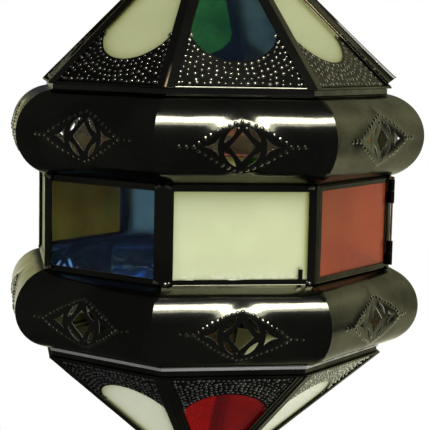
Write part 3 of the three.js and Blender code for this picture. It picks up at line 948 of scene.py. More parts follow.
class Motif:
    """The cut openwork of a roll's piece: a diamond, four leaves and two spurs, with a row of
    punched dots about them. Places are [sideways, away from the band] from its middle."""

    DIAMOND = (8.0, 9.25)
    LEAF_OFFSET = 4.4
    LEAF_LENGTH = 12.5
    LEAF_WIDTH = 3.2
    SPUR_START = 14.2
    SPUR_LENGTH = 9.7
    SPUR_HEIGHT = 11.6
    SPUR_HOLLOW = 2.0
    # Reach and rise of the row of dots, the tails' dots beyond it, and the pair over the diamond
    DOTS = (30.0, 15.2)
    TAIL = (4.2, 8.6)
    PAIR = (2.4, 1.6)
    # Height and width of the ridge that the dots draw up, and of the sunk field within
    RIDGE = (0.85, 3.6)
    FIELD = (0.25, 5.0)

    def __init__(self, shift: tuple[float, float], turn: float) -> None:
        """Keep the motif's shift from the face's middle and its turn in degrees."""
        self.shift = Vector(shift)
        self.turn = Matrix.Rotation(math.radians(turn), 2)

    @staticmethod
    def _curve(start: Vector, pull: Vector, end: Vector, steps: int = 7) -> list[Vector]:
        """Return points from start, without the end, along a curve pulled towards a point."""
        return [pulled(start, pull, end, step / steps) for step in range(steps)]

    def _leaf(self, right: int, up: int) -> list[Vector]:
        """Return one leaf beside the diamond."""
        half_width, half_height = self.DIAMOND
        side = math.hypot(half_width, half_height)
        along = Vector((right * half_width, -up * half_height)) / side
        out = Vector((right * half_height, up * half_width)) / side
        middle = Vector((right * half_width, up * half_height)) / 2 + out * self.LEAF_OFFSET
        tips = [middle - along * self.LEAF_LENGTH / 2, middle + along * self.LEAF_LENGTH / 2]
        outer = self._curve(tips[0], middle + out * self.LEAF_WIDTH, tips[1])
        return outer + self._curve(tips[1], middle - out * self.LEAF_WIDTH, tips[0])

    def _spur(self, right: int) -> list[Vector]:
        """Return the fish-tail spur at one side."""
        start = right * self.SPUR_START
        tip = Vector((right * (self.SPUR_START + self.SPUR_LENGTH), 0))
        waist = right * (self.SPUR_START + self.SPUR_LENGTH / 2 - self.SPUR_HOLLOW)
        low = Vector((start, -self.SPUR_HEIGHT / 2))
        high = Vector((start, self.SPUR_HEIGHT / 2))
        line = self._curve(low, Vector((waist, -self.SPUR_HOLLOW / 2)), tip)
        line += self._curve(tip, Vector((waist, self.SPUR_HOLLOW / 2)), high)
        return line + self._curve(high, Vector((start + right * self.SPUR_HOLLOW, 0)), low)

    def _diamond(self) -> list[Vector]:
        """Return the diamond, with points along its sides."""
        half_width, half_height = self.DIAMOND
        corners = flat([(half_width, 0), (0, half_height), (-half_width, 0), (0, -half_height)])
        points = []
        for corner, after in zip(corners, corners[1:] + corners[:1]):
            points.extend(corner.lerp(after, step / 5) for step in range(5))
        return points

    def place(self, point: Vector) -> Vector:
        """Return a point of the motif in the face."""
        return self.turn @ point + self.shift

    def outlines(self) -> list[list[Vector]]:
        """Return the outlines of the holes in the face."""
        shapes = [self._diamond(), self._spur(1), self._spur(-1)]
        shapes += [self._leaf(right, up) for right in (1, -1) for up in (1, -1)]
        return [[self.place(point) for point in shape] for shape in shapes]

    def dot_lines(self) -> list[list[Vector]]:
        """Return the lines that the dots follow in the face."""
        reach, rise = self.DOTS
        lines = []
        for up in (1, -1):
            line = []
            for step in range(41):
                side = -1 + step / 20
                height = rise * (1 - abs(side) ** 1.25) ** 0.92
                line.append(Vector((side * reach, up * height)))
            lines.append(line)
        for right in (1, -1):
            lines.append([Vector((right * (reach + far), 0)) for far in self.TAIL])
        half, gap = self.PAIR
        lines.append([Vector((side * half, self.DIAMOND[1] + gap)) for side in (-1, 1)])
        return [[self.place(point) for point in line] for line in lines]

    def relief(self, point: Vector) -> float:
        """Return how far the sheet stands out, in millimetres, along the rows of dots, which the
        punch has drawn up into a ridge about a slightly sunk field."""
        local = self.turn.transposed() @ (point - self.shift)
        reach, rise = self.DOTS
        norm = abs(local.x) / reach + abs(local.y) / rise
        away = (norm - 1.0) * reach * rise / math.hypot(reach, rise)
        sunk = self.FIELD[0] * max(0.0, min(1.0, -away / self.FIELD[1]))
        return self.RIDGE[0] * math.exp(-((away / self.RIDGE[1]) ** 2)) - sunk


@dataclass
class Roll:
    """One hollow roll of eight pressed, pierced sheets, mitred and soldered at the corners."""

    end: End
    rail: float
    front: Motif
    plain: Motif
    spacing: float
    bulge: float = 22.2
    height: float = 55.3
    lip: float = 3.5
    columns: int = 40
    arc_steps: int = 36
    rail_fold: float = 2.6
    lip_fold: float = 1.9
    stop: float = 2.0
    waver: float = 0.26
    clear: float = 0.75

    def __post_init__(self) -> None:
        """Work out the section."""
        self.name = "upper_roll" if self.end is End.UPPER else "lower_roll"
        self.line = self._section()
        self.normals = [-normal.normalized() for normal in normals_of(self.line)]
        self.lengths = [0.0]
        for before, after in zip(self.line, self.line[1:]):
            self.lengths.append(self.lengths[-1] + (after - before).length)

    def _section(self) -> list[Vector]:
        """Return the outer line of the section, as [apothem, height above the band]."""
        run = ROLL_END_APOTHEM - BAND_APOTHEM
        chord = math.hypot(run, self.height)
        radius = chord * chord / (8 * self.bulge) + self.bulge / 2
        back = radius - self.bulge
        middle = Vector(((BAND_APOTHEM + ROLL_END_APOTHEM) / 2, BAND_HALF + self.height / 2))
        centre = middle + Vector((-back * self.height / chord, back * run / chord))
        start = -math.acos((BAND_APOTHEM - centre.x) / radius)
        end = math.acos((ROLL_END_APOTHEM - centre.x) / radius)
        line = flat((BAND_APOTHEM, BAND_HALF - down) for down in (self.rail, self.rail_fold, 0.0))
        for step in range(1, self.arc_steps):
            angle = start + (end - start) * step / self.arc_steps
            line.append(centre + Vector((math.cos(angle), math.sin(angle))) * radius)
        top = BAND_HALF + self.height
        line += flat((ROLL_END_APOTHEM, top + up) for up in (0.0, self.lip_fold, self.lip))
        return rounded(line, BEND, 4)

    def at(self, length: float) -> tuple[Vector, Vector]:
        """Return the section's point and outward normal at a length along it."""
        index = 0
        while index < len(self.lengths) - 2 and self.lengths[index + 1] < length:
            index += 1
        near, far = self.line[index : index + 2]
        first, second = self.normals[index : index + 2]
        share = (length - self.lengths[index]) / (self.lengths[index + 1] - self.lengths[index])
        normal = first.lerp(second, share).normalized()
        sag = (far - near).length * math.tan(first.angle(second, 0.0) / 4) / 2
        outward = first.x * second.y - first.y * second.x > 0
        bow = sag * 4 * share * (1 - share) * (1 if outward else -1)
        return near.lerp(far, share) + normal * bow, normal

    def length_at(self, height: float) -> float:
        """Return the length along the section at a height on the bulge."""
        first = next(i for i, p in enumerate(self.line) if p.y > BAND_HALF + 3)
        for index in range(first, len(self.line) - 1):
            low, high = (point.y for point in self.line[index : index + 2])
            if high >= height:
                near, far = self.lengths[index : index + 2]
                return near + (height - low) / (high - low) * (far - near)
        return self.lengths[-1]

    def unrolled(self, point: Vector) -> tuple[float, float]:
        """Return a point of the openwork as its place across the face and along the section."""
        length = self.length_at(BAND_HALF + self.height / 2 + point.y)
        return point.x / (self.at(length)[0].x * HALF_TAN), length

    def spot(self, side: float, length: float, inset: float, motif: Motif, face: int) -> Vector:
        """Return a point of one face's sheet.

        Args:
            side: Place across the face, from -1 to 1.
            length: Place along the section.
            inset: Depth under the outer surface.
            motif: The face's openwork.
            face: The face's number.

        Returns:
            The point, in the front face's place and above the band.
        """
        point, normal = self.at(length)
        apothem = point.x - inset * normal.x
        height = point.y - inset * normal.y
        here = Vector((side * point.x * HALF_TAN, point.y - BAND_HALF - self.height / 2))
        ends = min(1.0, (self.lengths[-1] - length) / 8, max(0.0, length - 6) / 6)
        window = (1 - side**4) * ends
        press = -motif.relief(here) * window
        seed = Vector((here.x * 0.035, here.y * 0.05, face * 7.3 + self.end.value * 31))
        press += self.waver * noise.noise(seed) * window
        apothem -= press * normal.x
        height -= press * normal.y
        return Vector((side * apothem * HALF_TAN, -apothem, height))

    def _sector(self, motif: Motif, face: int) -> Shell:
        """Return the pierced sheet of one face, in the front face's place."""
        holes = []
        for outline in motif.outlines():
            places = [self.unrolled(point) for point in outline]
            holes.append([Vector((side * FACE_HALF, length)) for side, length in places])
        points: list[Vector] = []
        edges: list[tuple[int, int]] = []
        for hole in holes:
            start = len(points)
            points.extend(hole)
            count = len(hole)
            edges.extend((start + i, start + (i + 1) % count) for i in range(count))
        rim = list(points)
        for length in self.lengths:
            for column in range(self.columns + 1):
                spot = Vector(((-1 + 2 * column / self.columns) * FACE_HALF, length))
                near = any((spot - other).length < self.clear for other in rim)
                if not near and not any(_inside(spot, hole) for hole in holes):
                    points.append(spot)
        found, _, triangles, *_ = delaunay_2d_cdt(points, edges, [], 0, 1e-5)
        kept = []
        for triangle in triangles:
            middle = sum((found[corner] for corner in triangle), Vector((0, 0))) / len(triangle)
            if not any(_inside(middle, hole) for hole in holes):
                kept.append(triangle)
        return self._thick(found, kept, motif, face)

    def _thick(
        self,
        found: Sequence[Vector],
        kept: Sequence[Sequence[int]],
        motif: Motif,
        face: int,
    ) -> Shell:
        """Give the flat pattern of one face its shape and its thickness.

        Args:
            found: Points of the pattern, as [across, along the section].
            kept: Triangles between them.
            motif: The face's openwork.
            face: The face's number.

        Returns:
            The sheet, open at its two mitres.
        """
        count = len(found)
        points = []
        for inset in (0.0, SHEET):
            points += [self.spot(x / FACE_HALF, at, inset, motif, face) for x, at in found]
        faces = [tuple(triangle) for triangle in kept]
        faces += [tuple(count + corner for corner in reversed(triangle)) for triangle in kept]
        used: dict[tuple[int, int], int] = {}
        for triangle in kept:
            for here, there in zip(triangle, [*triangle[1:], triangle[0]]):
                key = (min(here, there), max(here, there))
                used[key] = used.get(key, 0) + 1
        for (here, there), times in used.items():
            first, second = found[here].x, found[there].x
            at_mitre = abs(abs(first) - FACE_HALF) < 0.01 and abs(first - second) < 0.01
            if times == 1 and not at_mitre:
                faces.append((here, there, count + there, count + here))
        lip = self.lengths[-1] - self.lip + 0.4
        # Painted reflection: the lower roll's lip is pale and dull as if mirroring the pale floor;
        # the upper one's is a little lighter, and the inside is tin without lacquer
        bare_and_painted_reflection = -1.05 if self.end is End.LOWER else -0.1
        values = [bare_and_painted_reflection if length > lip else 0.0 for _, length in found]
        return Shell().add(points, faces, values + [-1.0] * count)

    def _tabs(self) -> Shell:
        """Return the tabs that hold the band's panes from behind."""
        edge = BAND_HALF - self.rail + PANE_LAP
        tabs = Shell()
        for face in FIXED_FACES:
            for side in (-1, 1):
                x = (0, 0, 1, side * TAB_SPACING / 2)
                place = Matrix((x, (0, -1, 0, -BAND_APOTHEM), (-1, 0, 0, edge), (0, 0, 0, 1)))
                tabs.join(bent_tab(), face_turn(face) @ place)
        return tabs

    def build(self, finishes: Finishes, rows: MarkRows) -> None:
        """Make the roll and its rows of punched dots."""
        whole = Shell()
        paths = []
        for face in FACES:
            motif = self.front if face == 0 else self.plain
            whole.join(self._sector(motif, face), face_turn(face))
            paths += [path.moved(face_turn(face)) for path in self._dot_paths(motif, face)]
        whole.join(self._tabs())
        if self.end is End.LOWER:
            whole.flipped()
            flip = Matrix.Diagonal((1, 1, -1, 1))
            paths = [path.moved(flip) for path in paths]
        self._trim_door(make_sheet(self.name + "_sheet", whole, finishes, self.name))
        rows.make(
            self.name + "_dots",
            paths,
            boss(1.3, 0.52),
            finishes.raised,
            on_lamp("punched_metal"),
            self.spacing,
            sizes=(0.7, 1.15),
            jitter=0.28,
            seed=11 + self.end.value,
        )

    def _dot_paths(self, motif: Motif, face: int) -> list[Path]:
        """Return the lines of dots on one face, in the front face's place."""
        paths = []
        for line in motif.dot_lines():
            path = Path()
            for point in line:
                side, length = self.unrolled(point)
                normal = self.at(length)[1]
                place = self.spot(side, length, 0.0, motif, face)
                path.add(place, Vector((0, -normal.x, normal.y)))
            paths.append(path)
        return paths

    def _trim_door(self, roll: Object) -> None:
        """Cut the rail back to a narrow stop where the door's pane passes."""
        half = FACE_HALF - DOOR_POST_LEG + 0.5
        stop = BAND_HALF - self.stop
        front, back = -118.5, -112.9
        corners = ((-half, front), (half, front), (half, back), (-half, back))
        cut_out(roll, Shell().join(prism(corners, (-stop, stop)), AT_DOOR))


def _inside(point: Vector, outline: Sequence[Vector]) -> bool:
    """Return whether a 2-D point lies inside a closed outline."""
    found = False
    before = outline[-1]
    for corner in outline:
        if (corner.y > point.y) != (before.y > point.y):
            cross = (before.x - corner.x) * (point.y - corner.y) / (before.y - corner.y) + corner.x
            if point.x < cross:
                found = not found
        before = corner
    return found


def cut_out(piece: Object, shell: Shell) -> None:
    """Cut a closed shell out of a piece, whose mesh is changed."""
    mesh = new_mesh("cutter", shell)
    finish_mesh(mesh, CREASE)
    step = piece.modifiers.new("cut", "BOOLEAN")
    step.operation = "DIFFERENCE"
    step.solver = "EXACT"
    step.object = new_object("cutter", mesh)
    result = evaluated(piece)
    old = piece.data
    name = old.name
    piece.data = result
    bpy.data.meshes.remove(old)
    result.name = name
    bpy.data.meshes.remove(mesh)
    finish_mesh(result, CREASE)


# Roof and base


@dataclass
class Slope:
    """The roof or the base: eight sloping panes behind arched, punched plates and ridge strips."""

    end: End
    apothem: float
    rise: float
    top_apothem: float
    plate: float
    arch: float = 28.5
    arch_share: float = 0.82
    leg: float = 5.5
    flange: float = 5.5
    rim_out: float = 2.0
    hole: float = 5.3
    disc: float = 1.5
    overhang: float = 2.0
    row: float = 4.2
    spacing: float = 4.5
    dot: float = 1.34
    arcs: int = 10
    first_arc: float = 2.3
    low_row: float = 2.9
    dot_edge: float = 0.9
    cover_lap: float = 1.4
    foot: float = RIM_HIGH + SHEET / 2

    # Section of the strip that covers one ridge, as [across, out of the face], with its bead
    COVER = (
        (0.9, 0.0),
        (-3.9, 0.0),
        (-4.2, 0.35),
        (-4.6, 0.7),
        (-5.0, 0.7),
        (-5.4, 0.35),
        (-5.7, 0.0),
        (-6.9, 0.0),
    )

    def __post_init__(self) -> None:
        """Work out the slope's angle, its top and the places that its parts share."""
        slant = math.hypot(self.apothem, self.rise)
        self.sine = self.rise / slant
        self.cosine = self.apothem / slant
        self.length = (self.apothem - self.top_apothem) / self.cosine
        self.reach = self.leg / math.cos(TURN / 2)
        self.centre = Vector((0, self.plate + self.arch))
        self.arch_end = self.plate + self.arch * self.arch_share
        self.top = self.foot + (self.apothem - self.top_apothem) * self.rise / self.apothem
        self.word = "roof" if self.end is End.UPPER else "base"

    def matrix(self, face: float) -> Matrix:
        """Return the matrix from a face's [across, up the slope, outwards] to its place."""
        flip = self.end.value
        depth = (0, self.cosine, -self.sine, -self.apothem)
        height = (0, flip * self.sine, flip * self.cosine, flip * self.foot)
        return face_turn(face) @ Matrix(((1, 0, 0, 0), depth, height, (0, 0, 0, 1)))

    def half(self, up: float, depth: float = 0.0) -> float:
        """Return half a face's width at a place up the slope, clear of its neighbours."""
        mitre = depth * self.sine * HALF_TAN
        return (self.apothem - up * self.cosine) * HALF_TAN - mitre - GAP

    def _pane(self) -> Shell:
        """Return one pane in its face's own plane, with its distance to the sheet painted on."""
        back = PANE_DEPTH + GLASS
        fade = 2.6

        def covered(point: Vector) -> float:
            """Return 1 by the sheet in front of the pane, and less away from it."""
            side = self.half(point.y) - self.reach - abs(point.x)
            arch = self.arch - (point.to_2d() - self.centre).length
            if point.y > self.arch_end:
                arch = side
            return math.exp(-max(0.0, min(side, arch)) / fade)

        ends = (self.plate - PANE_LAP, self.length - PANE_DEPTH)
        return slab(*ends, lambda up: self.half(up, back)).painted(covered)

    def _ridge(self, corner: int) -> Shell:
        """Return the folded strip over one ridge, and the flat strip that covers one of them."""
        first = self.matrix(corner)
        second = self.matrix(corner + 1)
        start = first @ Vector((self.apothem * HALF_TAN, 0, 0))
        finish = first @ Vector((self.top_apothem * HALF_TAN, self.length, 0))
        along = (finish - start).normalized()
        outs = [m.to_3x3() @ Vector((0, 0, 1)) for m in (first, second)]
        across = [along.cross(outs[0]).normalized(), along.cross(outs[1]).normalized()]
        if across[0].dot(first.to_3x3() @ Vector((-1, 0, 0))) < 0:
            across = [-side for side in across]
        lift = GAP + SHEET / 2
        bisector = (outs[0] + outs[1]).normalized()
        tip = bisector * lift / bisector.dot(outs[0])
        upper = self.end is End.UPPER
        double = upper and corner == 1
        ends = [
            across[0] * (self.cover_lap if double else self.reach) + outs[0] * lift,
            -across[1] * self.reach + outs[1] * lift,
        ]
        frame_x = across[0]
        frame_y = along.cross(frame_x).normalized()

        def flattened(points: Sequence[Vector]) -> list[Vector]:
            """Return points across the ridge as 2-D ones."""
            return flat([(point.dot(frame_x), point.dot(frame_y)) for point in points])

        near = [tip + (end - tip).normalized() for end in ends]
        drop = [ends[0] - outs[0] * (lift + PANE_DEPTH - SHEET / 2 - 0.1)] if double else []
        line = rounded(flattened([*drop, ends[0], near[0], tip, near[1], ends[1]]), 1.6, 5)
        if not upper:
            line = self._ribbed(line)
        fold = tip.dot(frame_x)
        # Painted glint: the lower ends of two roof folds turn gold, partly lacquer rubbed off
        painted_glint_fold = upper and corner in (7, 3)

        def worn(x: float, step: int) -> float:
            """Return the painted gold glint at the fold's lower end, partly lacquer rubbed off, and
            a faint painted glint along the doubled strip's edge.
            """
            if double and x > self.cover_lap - 0.5:
                return 0.25 if step > 8 else 0.0
            return 1.0 - step / 5 if painted_glint_fold and abs(x - fold) < 0.6 and step < 4 else 0.0

        place = (start, along, frame_x, frame_y)
        shell = self._strip(place, sheet_section(line), corner, worn)
        if double:
            over = lift + 0.9
            cover = flattened([across[0] * x + outs[0] * (over + rise) for x, rise in self.COVER])

            # Painted highlight: a pale line along the cover's bead
            def painted_bead_line(x: float, step: int) -> float:
                """Return the painted bright line along the cover's bead, drawn as pale, dull sheet.
                """
                return -1.9 if -5.2 < x < -4.0 and step < 11 else 0.0

            shell.join(self._strip(place, sheet_section(cover), corner, painted_bead_line, square=True))
        return shell

    @staticmethod
    def _ribbed(line: Sequence[Vector]) -> list[Vector]:
        """Return a folded line with two low ribs rolled along each of its legs."""
        ribbed = []
        for index, point in enumerate(line[:-1]):
            after = line[index + 1]
            ribbed.append(point)
            if (after - point).length < 3:
                continue
            out = Vector((point.y - after.y, after.x - point.x)).normalized()
            out = out if out.y > 0 else -out
            for step in range(1, 12):
                share = step / 12
                rise = 0.17 * (1 - math.cos(4 * math.pi * share))
                ribbed.append(point.lerp(after, share) + out * rise)
        return [*ribbed, line[-1]]

    def _strip(
        self,
        place: tuple[Vector, Vector, Vector, Vector],
        section: Sequence[Vector],
        corner: int,
        worn: Callable[[float, int], float],
        square: bool = False,
    ) -> Shell:
        """Draw a section out along a ridge, with a slight waver.

        Args:
            place: The ridge's lower end, its direction and the section's two directions.
            section: The closed section.
            corner: The ridge's number.
            worn: The painted glint and wear at a place across the section and a step along
            the ridge.
            square: Whether the lower end is cut square, a little above the rim.

        Returns:
            The strip.
        """
        start, along, frame_x, frame_y = place
        flip = self.end.value
        low = flip * (RIM_HIGH - 0.1)
        top = flip * self.top
        sections = []
        values = []
        steps = 26
        waver = 0.12
        above = 9.0
        for step in range(steps + 1):
            height = low + (top - low) * step / steps
            wobble = waver * noise.noise(Vector((height * 0.11, corner * 5.1, flip * 3.0)))
            ring = []
            spread = 1.45 + (1 - step / steps) ** 2.6 if square else 1.0
            for x, y in section:
                x *= spread if x < 0 else 1.0
                base = start + frame_x * x + frame_y * (y + wobble)
                ring.append(base + along * ((height - base.z) / along.z))
                values.append(worn(x / spread, step))
            sections.append(ring)
        if square:
            base = min(point.dot(along) for point in sections[0]) + above
            first = [point + along * (base - point.dot(along)) for point in sections[0]]
            rest = [ring for ring in sections if min(p.dot(along) for p in ring) > base + 1]
            sections = [first, *rest]
            values = values[: len(section) * len(sections)]
        shell = loft(sections)
        shell.values = values
        return shell

    def _top(self) -> Shell:
        """Return the flange and the disc that close the top."""
        reach = (0.3 + SHEET / 2) / self.sine
        low = self.top - self.flange * self.rise / self.apothem

        def at(height: float) -> float:
            """Return the apothem of the flange's middle at a height."""
            return self.apothem - (height - self.foot) * self.apothem / self.rise + reach

        line = flat([(at(low), low), (at(self.top), self.top)])
        shell = mitred(sheet_section(line))
        outer = self.top_apothem + self.overhang
        high = self.top + self.disc
        nose = [
            (self.hole, self.top),
            *shifted([(-0.5, 0.0), (-0.1, 0.25), (0.0, self.disc / 2)], outer, self.top),
            *shifted([(-0.1, -0.25), (-0.5, 0.0)], outer, high),
            (self.hole, high),
        ]
        return shell.join(turned(flat(nose), 64))

    def _rim(self) -> Shell:
        """Return the rolled rim and the skirt inside the roll's lip."""
        inner = ROLL_END_APOTHEM - 2 * SHEET - GAP
        outer = self.apothem + self.rim_out
        skirt = 5.0
        profile = [
            *shifted([(0.0, -skirt), (SHEET, -skirt), (SHEET, 0.0)], inner, RIM_LOW),
            *shifted([(-0.25, 0.0), (0.0, 0.15)], outer, RIM_LOW),
            *shifted([(0.0, -0.70), (-0.52, 0.22), (-0.85, 0.22), (-1.0, 0.0)], outer, RIM_HIGH),
            (inner, RIM_HIGH),
        ]
        seam = RIM_HIGH + 1.8
        reach = self.apothem - SHEET / self.sine - (seam - self.foot) * self.apothem / self.rise
        low = RIM_LOW + 0.6
        solder = [(reach - 1.1, low), (inner + 0.3, low), (inner + 0.3, RIM_HIGH)]
        solder += [(reach - 0.1, seam), (reach - 1.1, seam)]
        return mitred(flat(profile), 6).join(mitred(flat(solder)))

    def _frame(self) -> Shell:
        """Return the whole frame of the slope."""
        shell = self._rim().join(self._top())
        if self.end is End.LOWER:
            shell.flipped()
        for corner in FACES:
            shell.join(self._ridge(corner))
        return shell

    def _dot_paths(self) -> list[Path]:
        """Return the rows of dots on one plate, in its face's own plane."""
        paths = []
        out = Vector((0, 0, 1))
        covered = self.reach + self.dot_edge
        low = self.low_row
        high = self.arch_end - 1.0
        for number in range(self.arcs):
            radius = self.arch + self.first_arc + number * self.row
            border = 0.0 if number == 0 else 0.8 * self.row
            path = Path()
            for step in range(241):
                angle = -math.pi + math.pi * step / 240
                spot = self.centre + Vector((math.cos(angle), math.sin(angle))) * radius
                inside = 2.6 + border < spot.y < high
                if inside and abs(spot.x) < self.half(spot.y) - covered - border:
                    path.add(spot.to_3d(), out)
                elif path.points:
                    paths.append(path)
                    path = Path()
            paths.append(path)
        ups = [low + (high - low) * step / 30 for step in range(31)]
        reach = self.half(low) - covered - 2.5
        rows = [
            [Vector((side * (self.half(up) - covered), up, 0)) for up in ups] for side in (-1, 1)
        ]
        rows.append([Vector(((-1 + step / 20) * reach, low, 0)) for step in range(41)])
        paths += [Path(row, [out] * len(row)) for row in rows]
        return [path for path in paths if len(path.points) > 2]

    def build(self, finishes: Finishes, rows: MarkRows) -> None:
        """Make the panes, the frame and the rows of dots, and dress the plates."""
        for face in FACES:
            node = f"{self.word}_glass_{face + 1}"
            pane = Shell().join(self._pane(), self.matrix(face))
            make_pane(f"{self.word}_pane_{face + 1}", pane, finishes, node)
            dress(f"{self.word}_plate_{face + 1}", finishes.punched)
        make_sheet(f"{self.word}_strips", self._frame(), finishes, f"{self.word}_frame")
        paths = [path.moved(self.matrix(face)) for face in FACES for path in self._dot_paths()]
        rows.make(
            f"{self.word}_dots",
            paths,
            boss(self.dot, 0.48 * self.dot),
            # Roof dots: painted highlight; base dots: painted reflection
            finishes.dots if self.end is End.UPPER else finishes.low_dots_painted_reflection,
            on_lamp("punched_metal"),
            self.spacing,
            sizes=(0.55, 1.12),
            jitter=0.13 * self.spacing,
            seed=31 + self.end.value,
        )


def slab(low: float, high: float, half: Callable[[float], float]) -> Shell:
    """Return a pane with ground edges, in its own [across, up, outwards] plane.

    Args:
        low: Lower edge.
        high: Upper edge.
        half: Half the width at a place up the pane.

    Returns:
        The shell.
    """
    ground = 0.3
    rows = _stops(low, high, ground, 30)
    sides = _stops(-1.0, 1.0, ground / half((low + high) / 2), 34)
    points = []
    front = -PANE_DEPTH
    for depth in (front, front - GLASS):
        for row, up in enumerate(rows):
            for column, side in enumerate(sides):
                edge = row in (0, len(rows) - 1) or column in (0, len(sides) - 1)
                inward = ground if edge else 0.0
                level = depth - inward if depth == front else depth + inward
                points.append(Vector((side * half(up), up, level)))
    width = len(sides)
    layer = width * len(rows)
    faces = []
    for row in range(len(rows) - 1):
        for column in range(width - 1):
            here = row * width + column
            quad = (here, here + 1, here + width + 1, here + width)
            faces.append(quad)
            faces.append(tuple(layer + corner for corner in reversed(quad)))
    border = [*range(width)]
    border += [row * width + width - 1 for row in range(1, len(rows))]
    border += [layer - 1 - step for step in range(1, width)]
    border += [row * width for row in range(len(rows) - 2, 0, -1)]
    for here, there in zip(border, border[1:] + border[:1]):
        faces.append((here, layer + here, layer + there, there))
    return Shell().add(points, faces)


def _stops(low: float, high: float, ground: float, count: int) -> list[float]:
    """Return places from low to high, closer by both ends."""
    middle = (low + high) / 2
    reach = (high - low) / 2 - ground
    angles = [math.pi / 2 * (-1 + 2 * step / count) for step in range(count + 1)]
    return [low, *(middle + reach * math.sin(angle) for angle in angles), high]


def dress(node: str, material: Material) -> None:
    """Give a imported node's own mesh a finish."""
    for slot in frame["nodes"][node].material_slots:
        slot.material = material


def make_sheet(
    name: str, shell: Shell, finishes: Finishes, *nodes: str, crease: float = CREASE
) -> Object:
    """Turn a shell into a piece of black sheet on the lamp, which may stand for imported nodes."""
    return make_piece(name, shell, finishes.sheet, on_lamp("black_metal", *nodes), crease)


def make_pane(name: str, shell: Shell, finishes: Finishes, node: str) -> None:
    """Turn a shell into the pane that stands for a packed one."""
    how = Mount(Body.DOOR if node == "door_glass" else Body.LAMP, SLOT_OF[node], (node,))
    make_piece(name, shell, finishes.of_pane(node), how, value="rim")


# Band


@dataclass
class Band:
    """The upright panes and the folded posts between them."""

    pane_half: float = FACE_HALF - POST_LEG + PANE_LAP
    low: float = -BAND_HALF + BOTTOM_RAIL - PANE_LAP
    high: float = BAND_HALF - TOP_RAIL + PANE_LAP

    @staticmethod
    def upright(apothem: float) -> Matrix:
        """Return the matrix from [across, up, outwards] to the front face's upright plane."""
        return Matrix(((1, 0, 0, 0), (0, 0, -1, -apothem), (0, 1, 0, 0), (0, 0, 0, 1)))

    def _pane(self) -> Shell:
        """Return one pane in the upright plane, with its distance to the sheet painted on."""

        def covered(point: Vector) -> float:
            """Return 1 by the sheet in front of the pane, and less away from it."""
            side = FACE_HALF - POST_LEG - abs(point.x)
            top = (BAND_HALF - TOP_RAIL - point.y) / 2.2
            bottom = max(0.0, point.y + BAND_HALF - BOTTOM_RAIL)
            return math.exp(-max(0.0, min(side * 1.6, top)) / 1.5) - math.exp(-bottom / 2.6)

        return slab(self.low, self.high, lambda up: self.pane_half).painted(covered)

    @staticmethod
    def _post(corner: int) -> Shell:
        """Return the folded post between a face and the next one on its right."""
        apothem = POST_INNER + SHEET / 2
        faces = (corner, corner + 1)
        legs = [DOOR_POST_LEG if face % SIDES == DOOR_FACE else POST_LEG for face in faces]
        if corner == 0:
            legs[0] -= FRONT_SHIFT
        elif corner == SIDES - 1:
            legs[1] += FRONT_SHIFT
        points = [
            face_turn(corner) @ Vector((FACE_HALF - legs[0], -apothem, 0)),
            face_turn(corner) @ Vector((apothem * HALF_TAN, -apothem, 0)),
            face_turn(corner + 1) @ Vector((legs[1] - FACE_HALF, -apothem, 0)),
        ]
        section = sheet_section(rounded([point.to_2d() for point in points], BEND, 5))
        reach = BAND_HALF - GAP
        sections = []
        for step in range(13):
            height = -reach + 2 * reach * step / 12
            sway = 0.10 * noise.noise(Vector((height * 0.09, corner * 3.7, 2.0)))
            scale = 1 + sway / 120
            sections.append([Vector((x * scale, y * scale, height)) for x, y in section])
        return loft(sections)

    def build(self, finishes: Finishes, hinge: Hinge) -> None:
        """Make the panes and posts. The post on the door's far side carries knuckles."""
        for face in FIXED_FACES:
            node = f"band_glass_{face + 1}"
            pane = Shell().join(self._pane(), face_turn(face) @ self.upright(BAND_APOTHEM))
            make_pane(f"band_pane_{face + 1}", pane, finishes, node)
        for corner in FACES:
            post = self._post(corner)
            if corner == DOOR_FACE:
                post.join(hinge.post_leaves())
            number = corner + 1
            make_sheet(f"folded_post_{number}", post, finishes, f"corner_post_{number}")
        make_sheet("front_tab", self._front_tab(), finishes)

    @staticmethod
    def _front_tab() -> Shell:
        """Return the narrow tab that stands before the front pane's lower right corner."""
        left, right = 38.4, 41.2
        front, back = -119.0, -118.2
        low = BAND_HALF - BOTTOM_RAIL + 1.6
        rows = ((-low, 0.0), (-low + 4, 0.1), (-low + 8.1, 0.35))
        tab = ((left, front), (right, front), (right, back), (left, back))
        return loft([[Vector((x, y + 1.6 - out, z)) for x, y in tab] for z, out in rows])


# Door and hinge


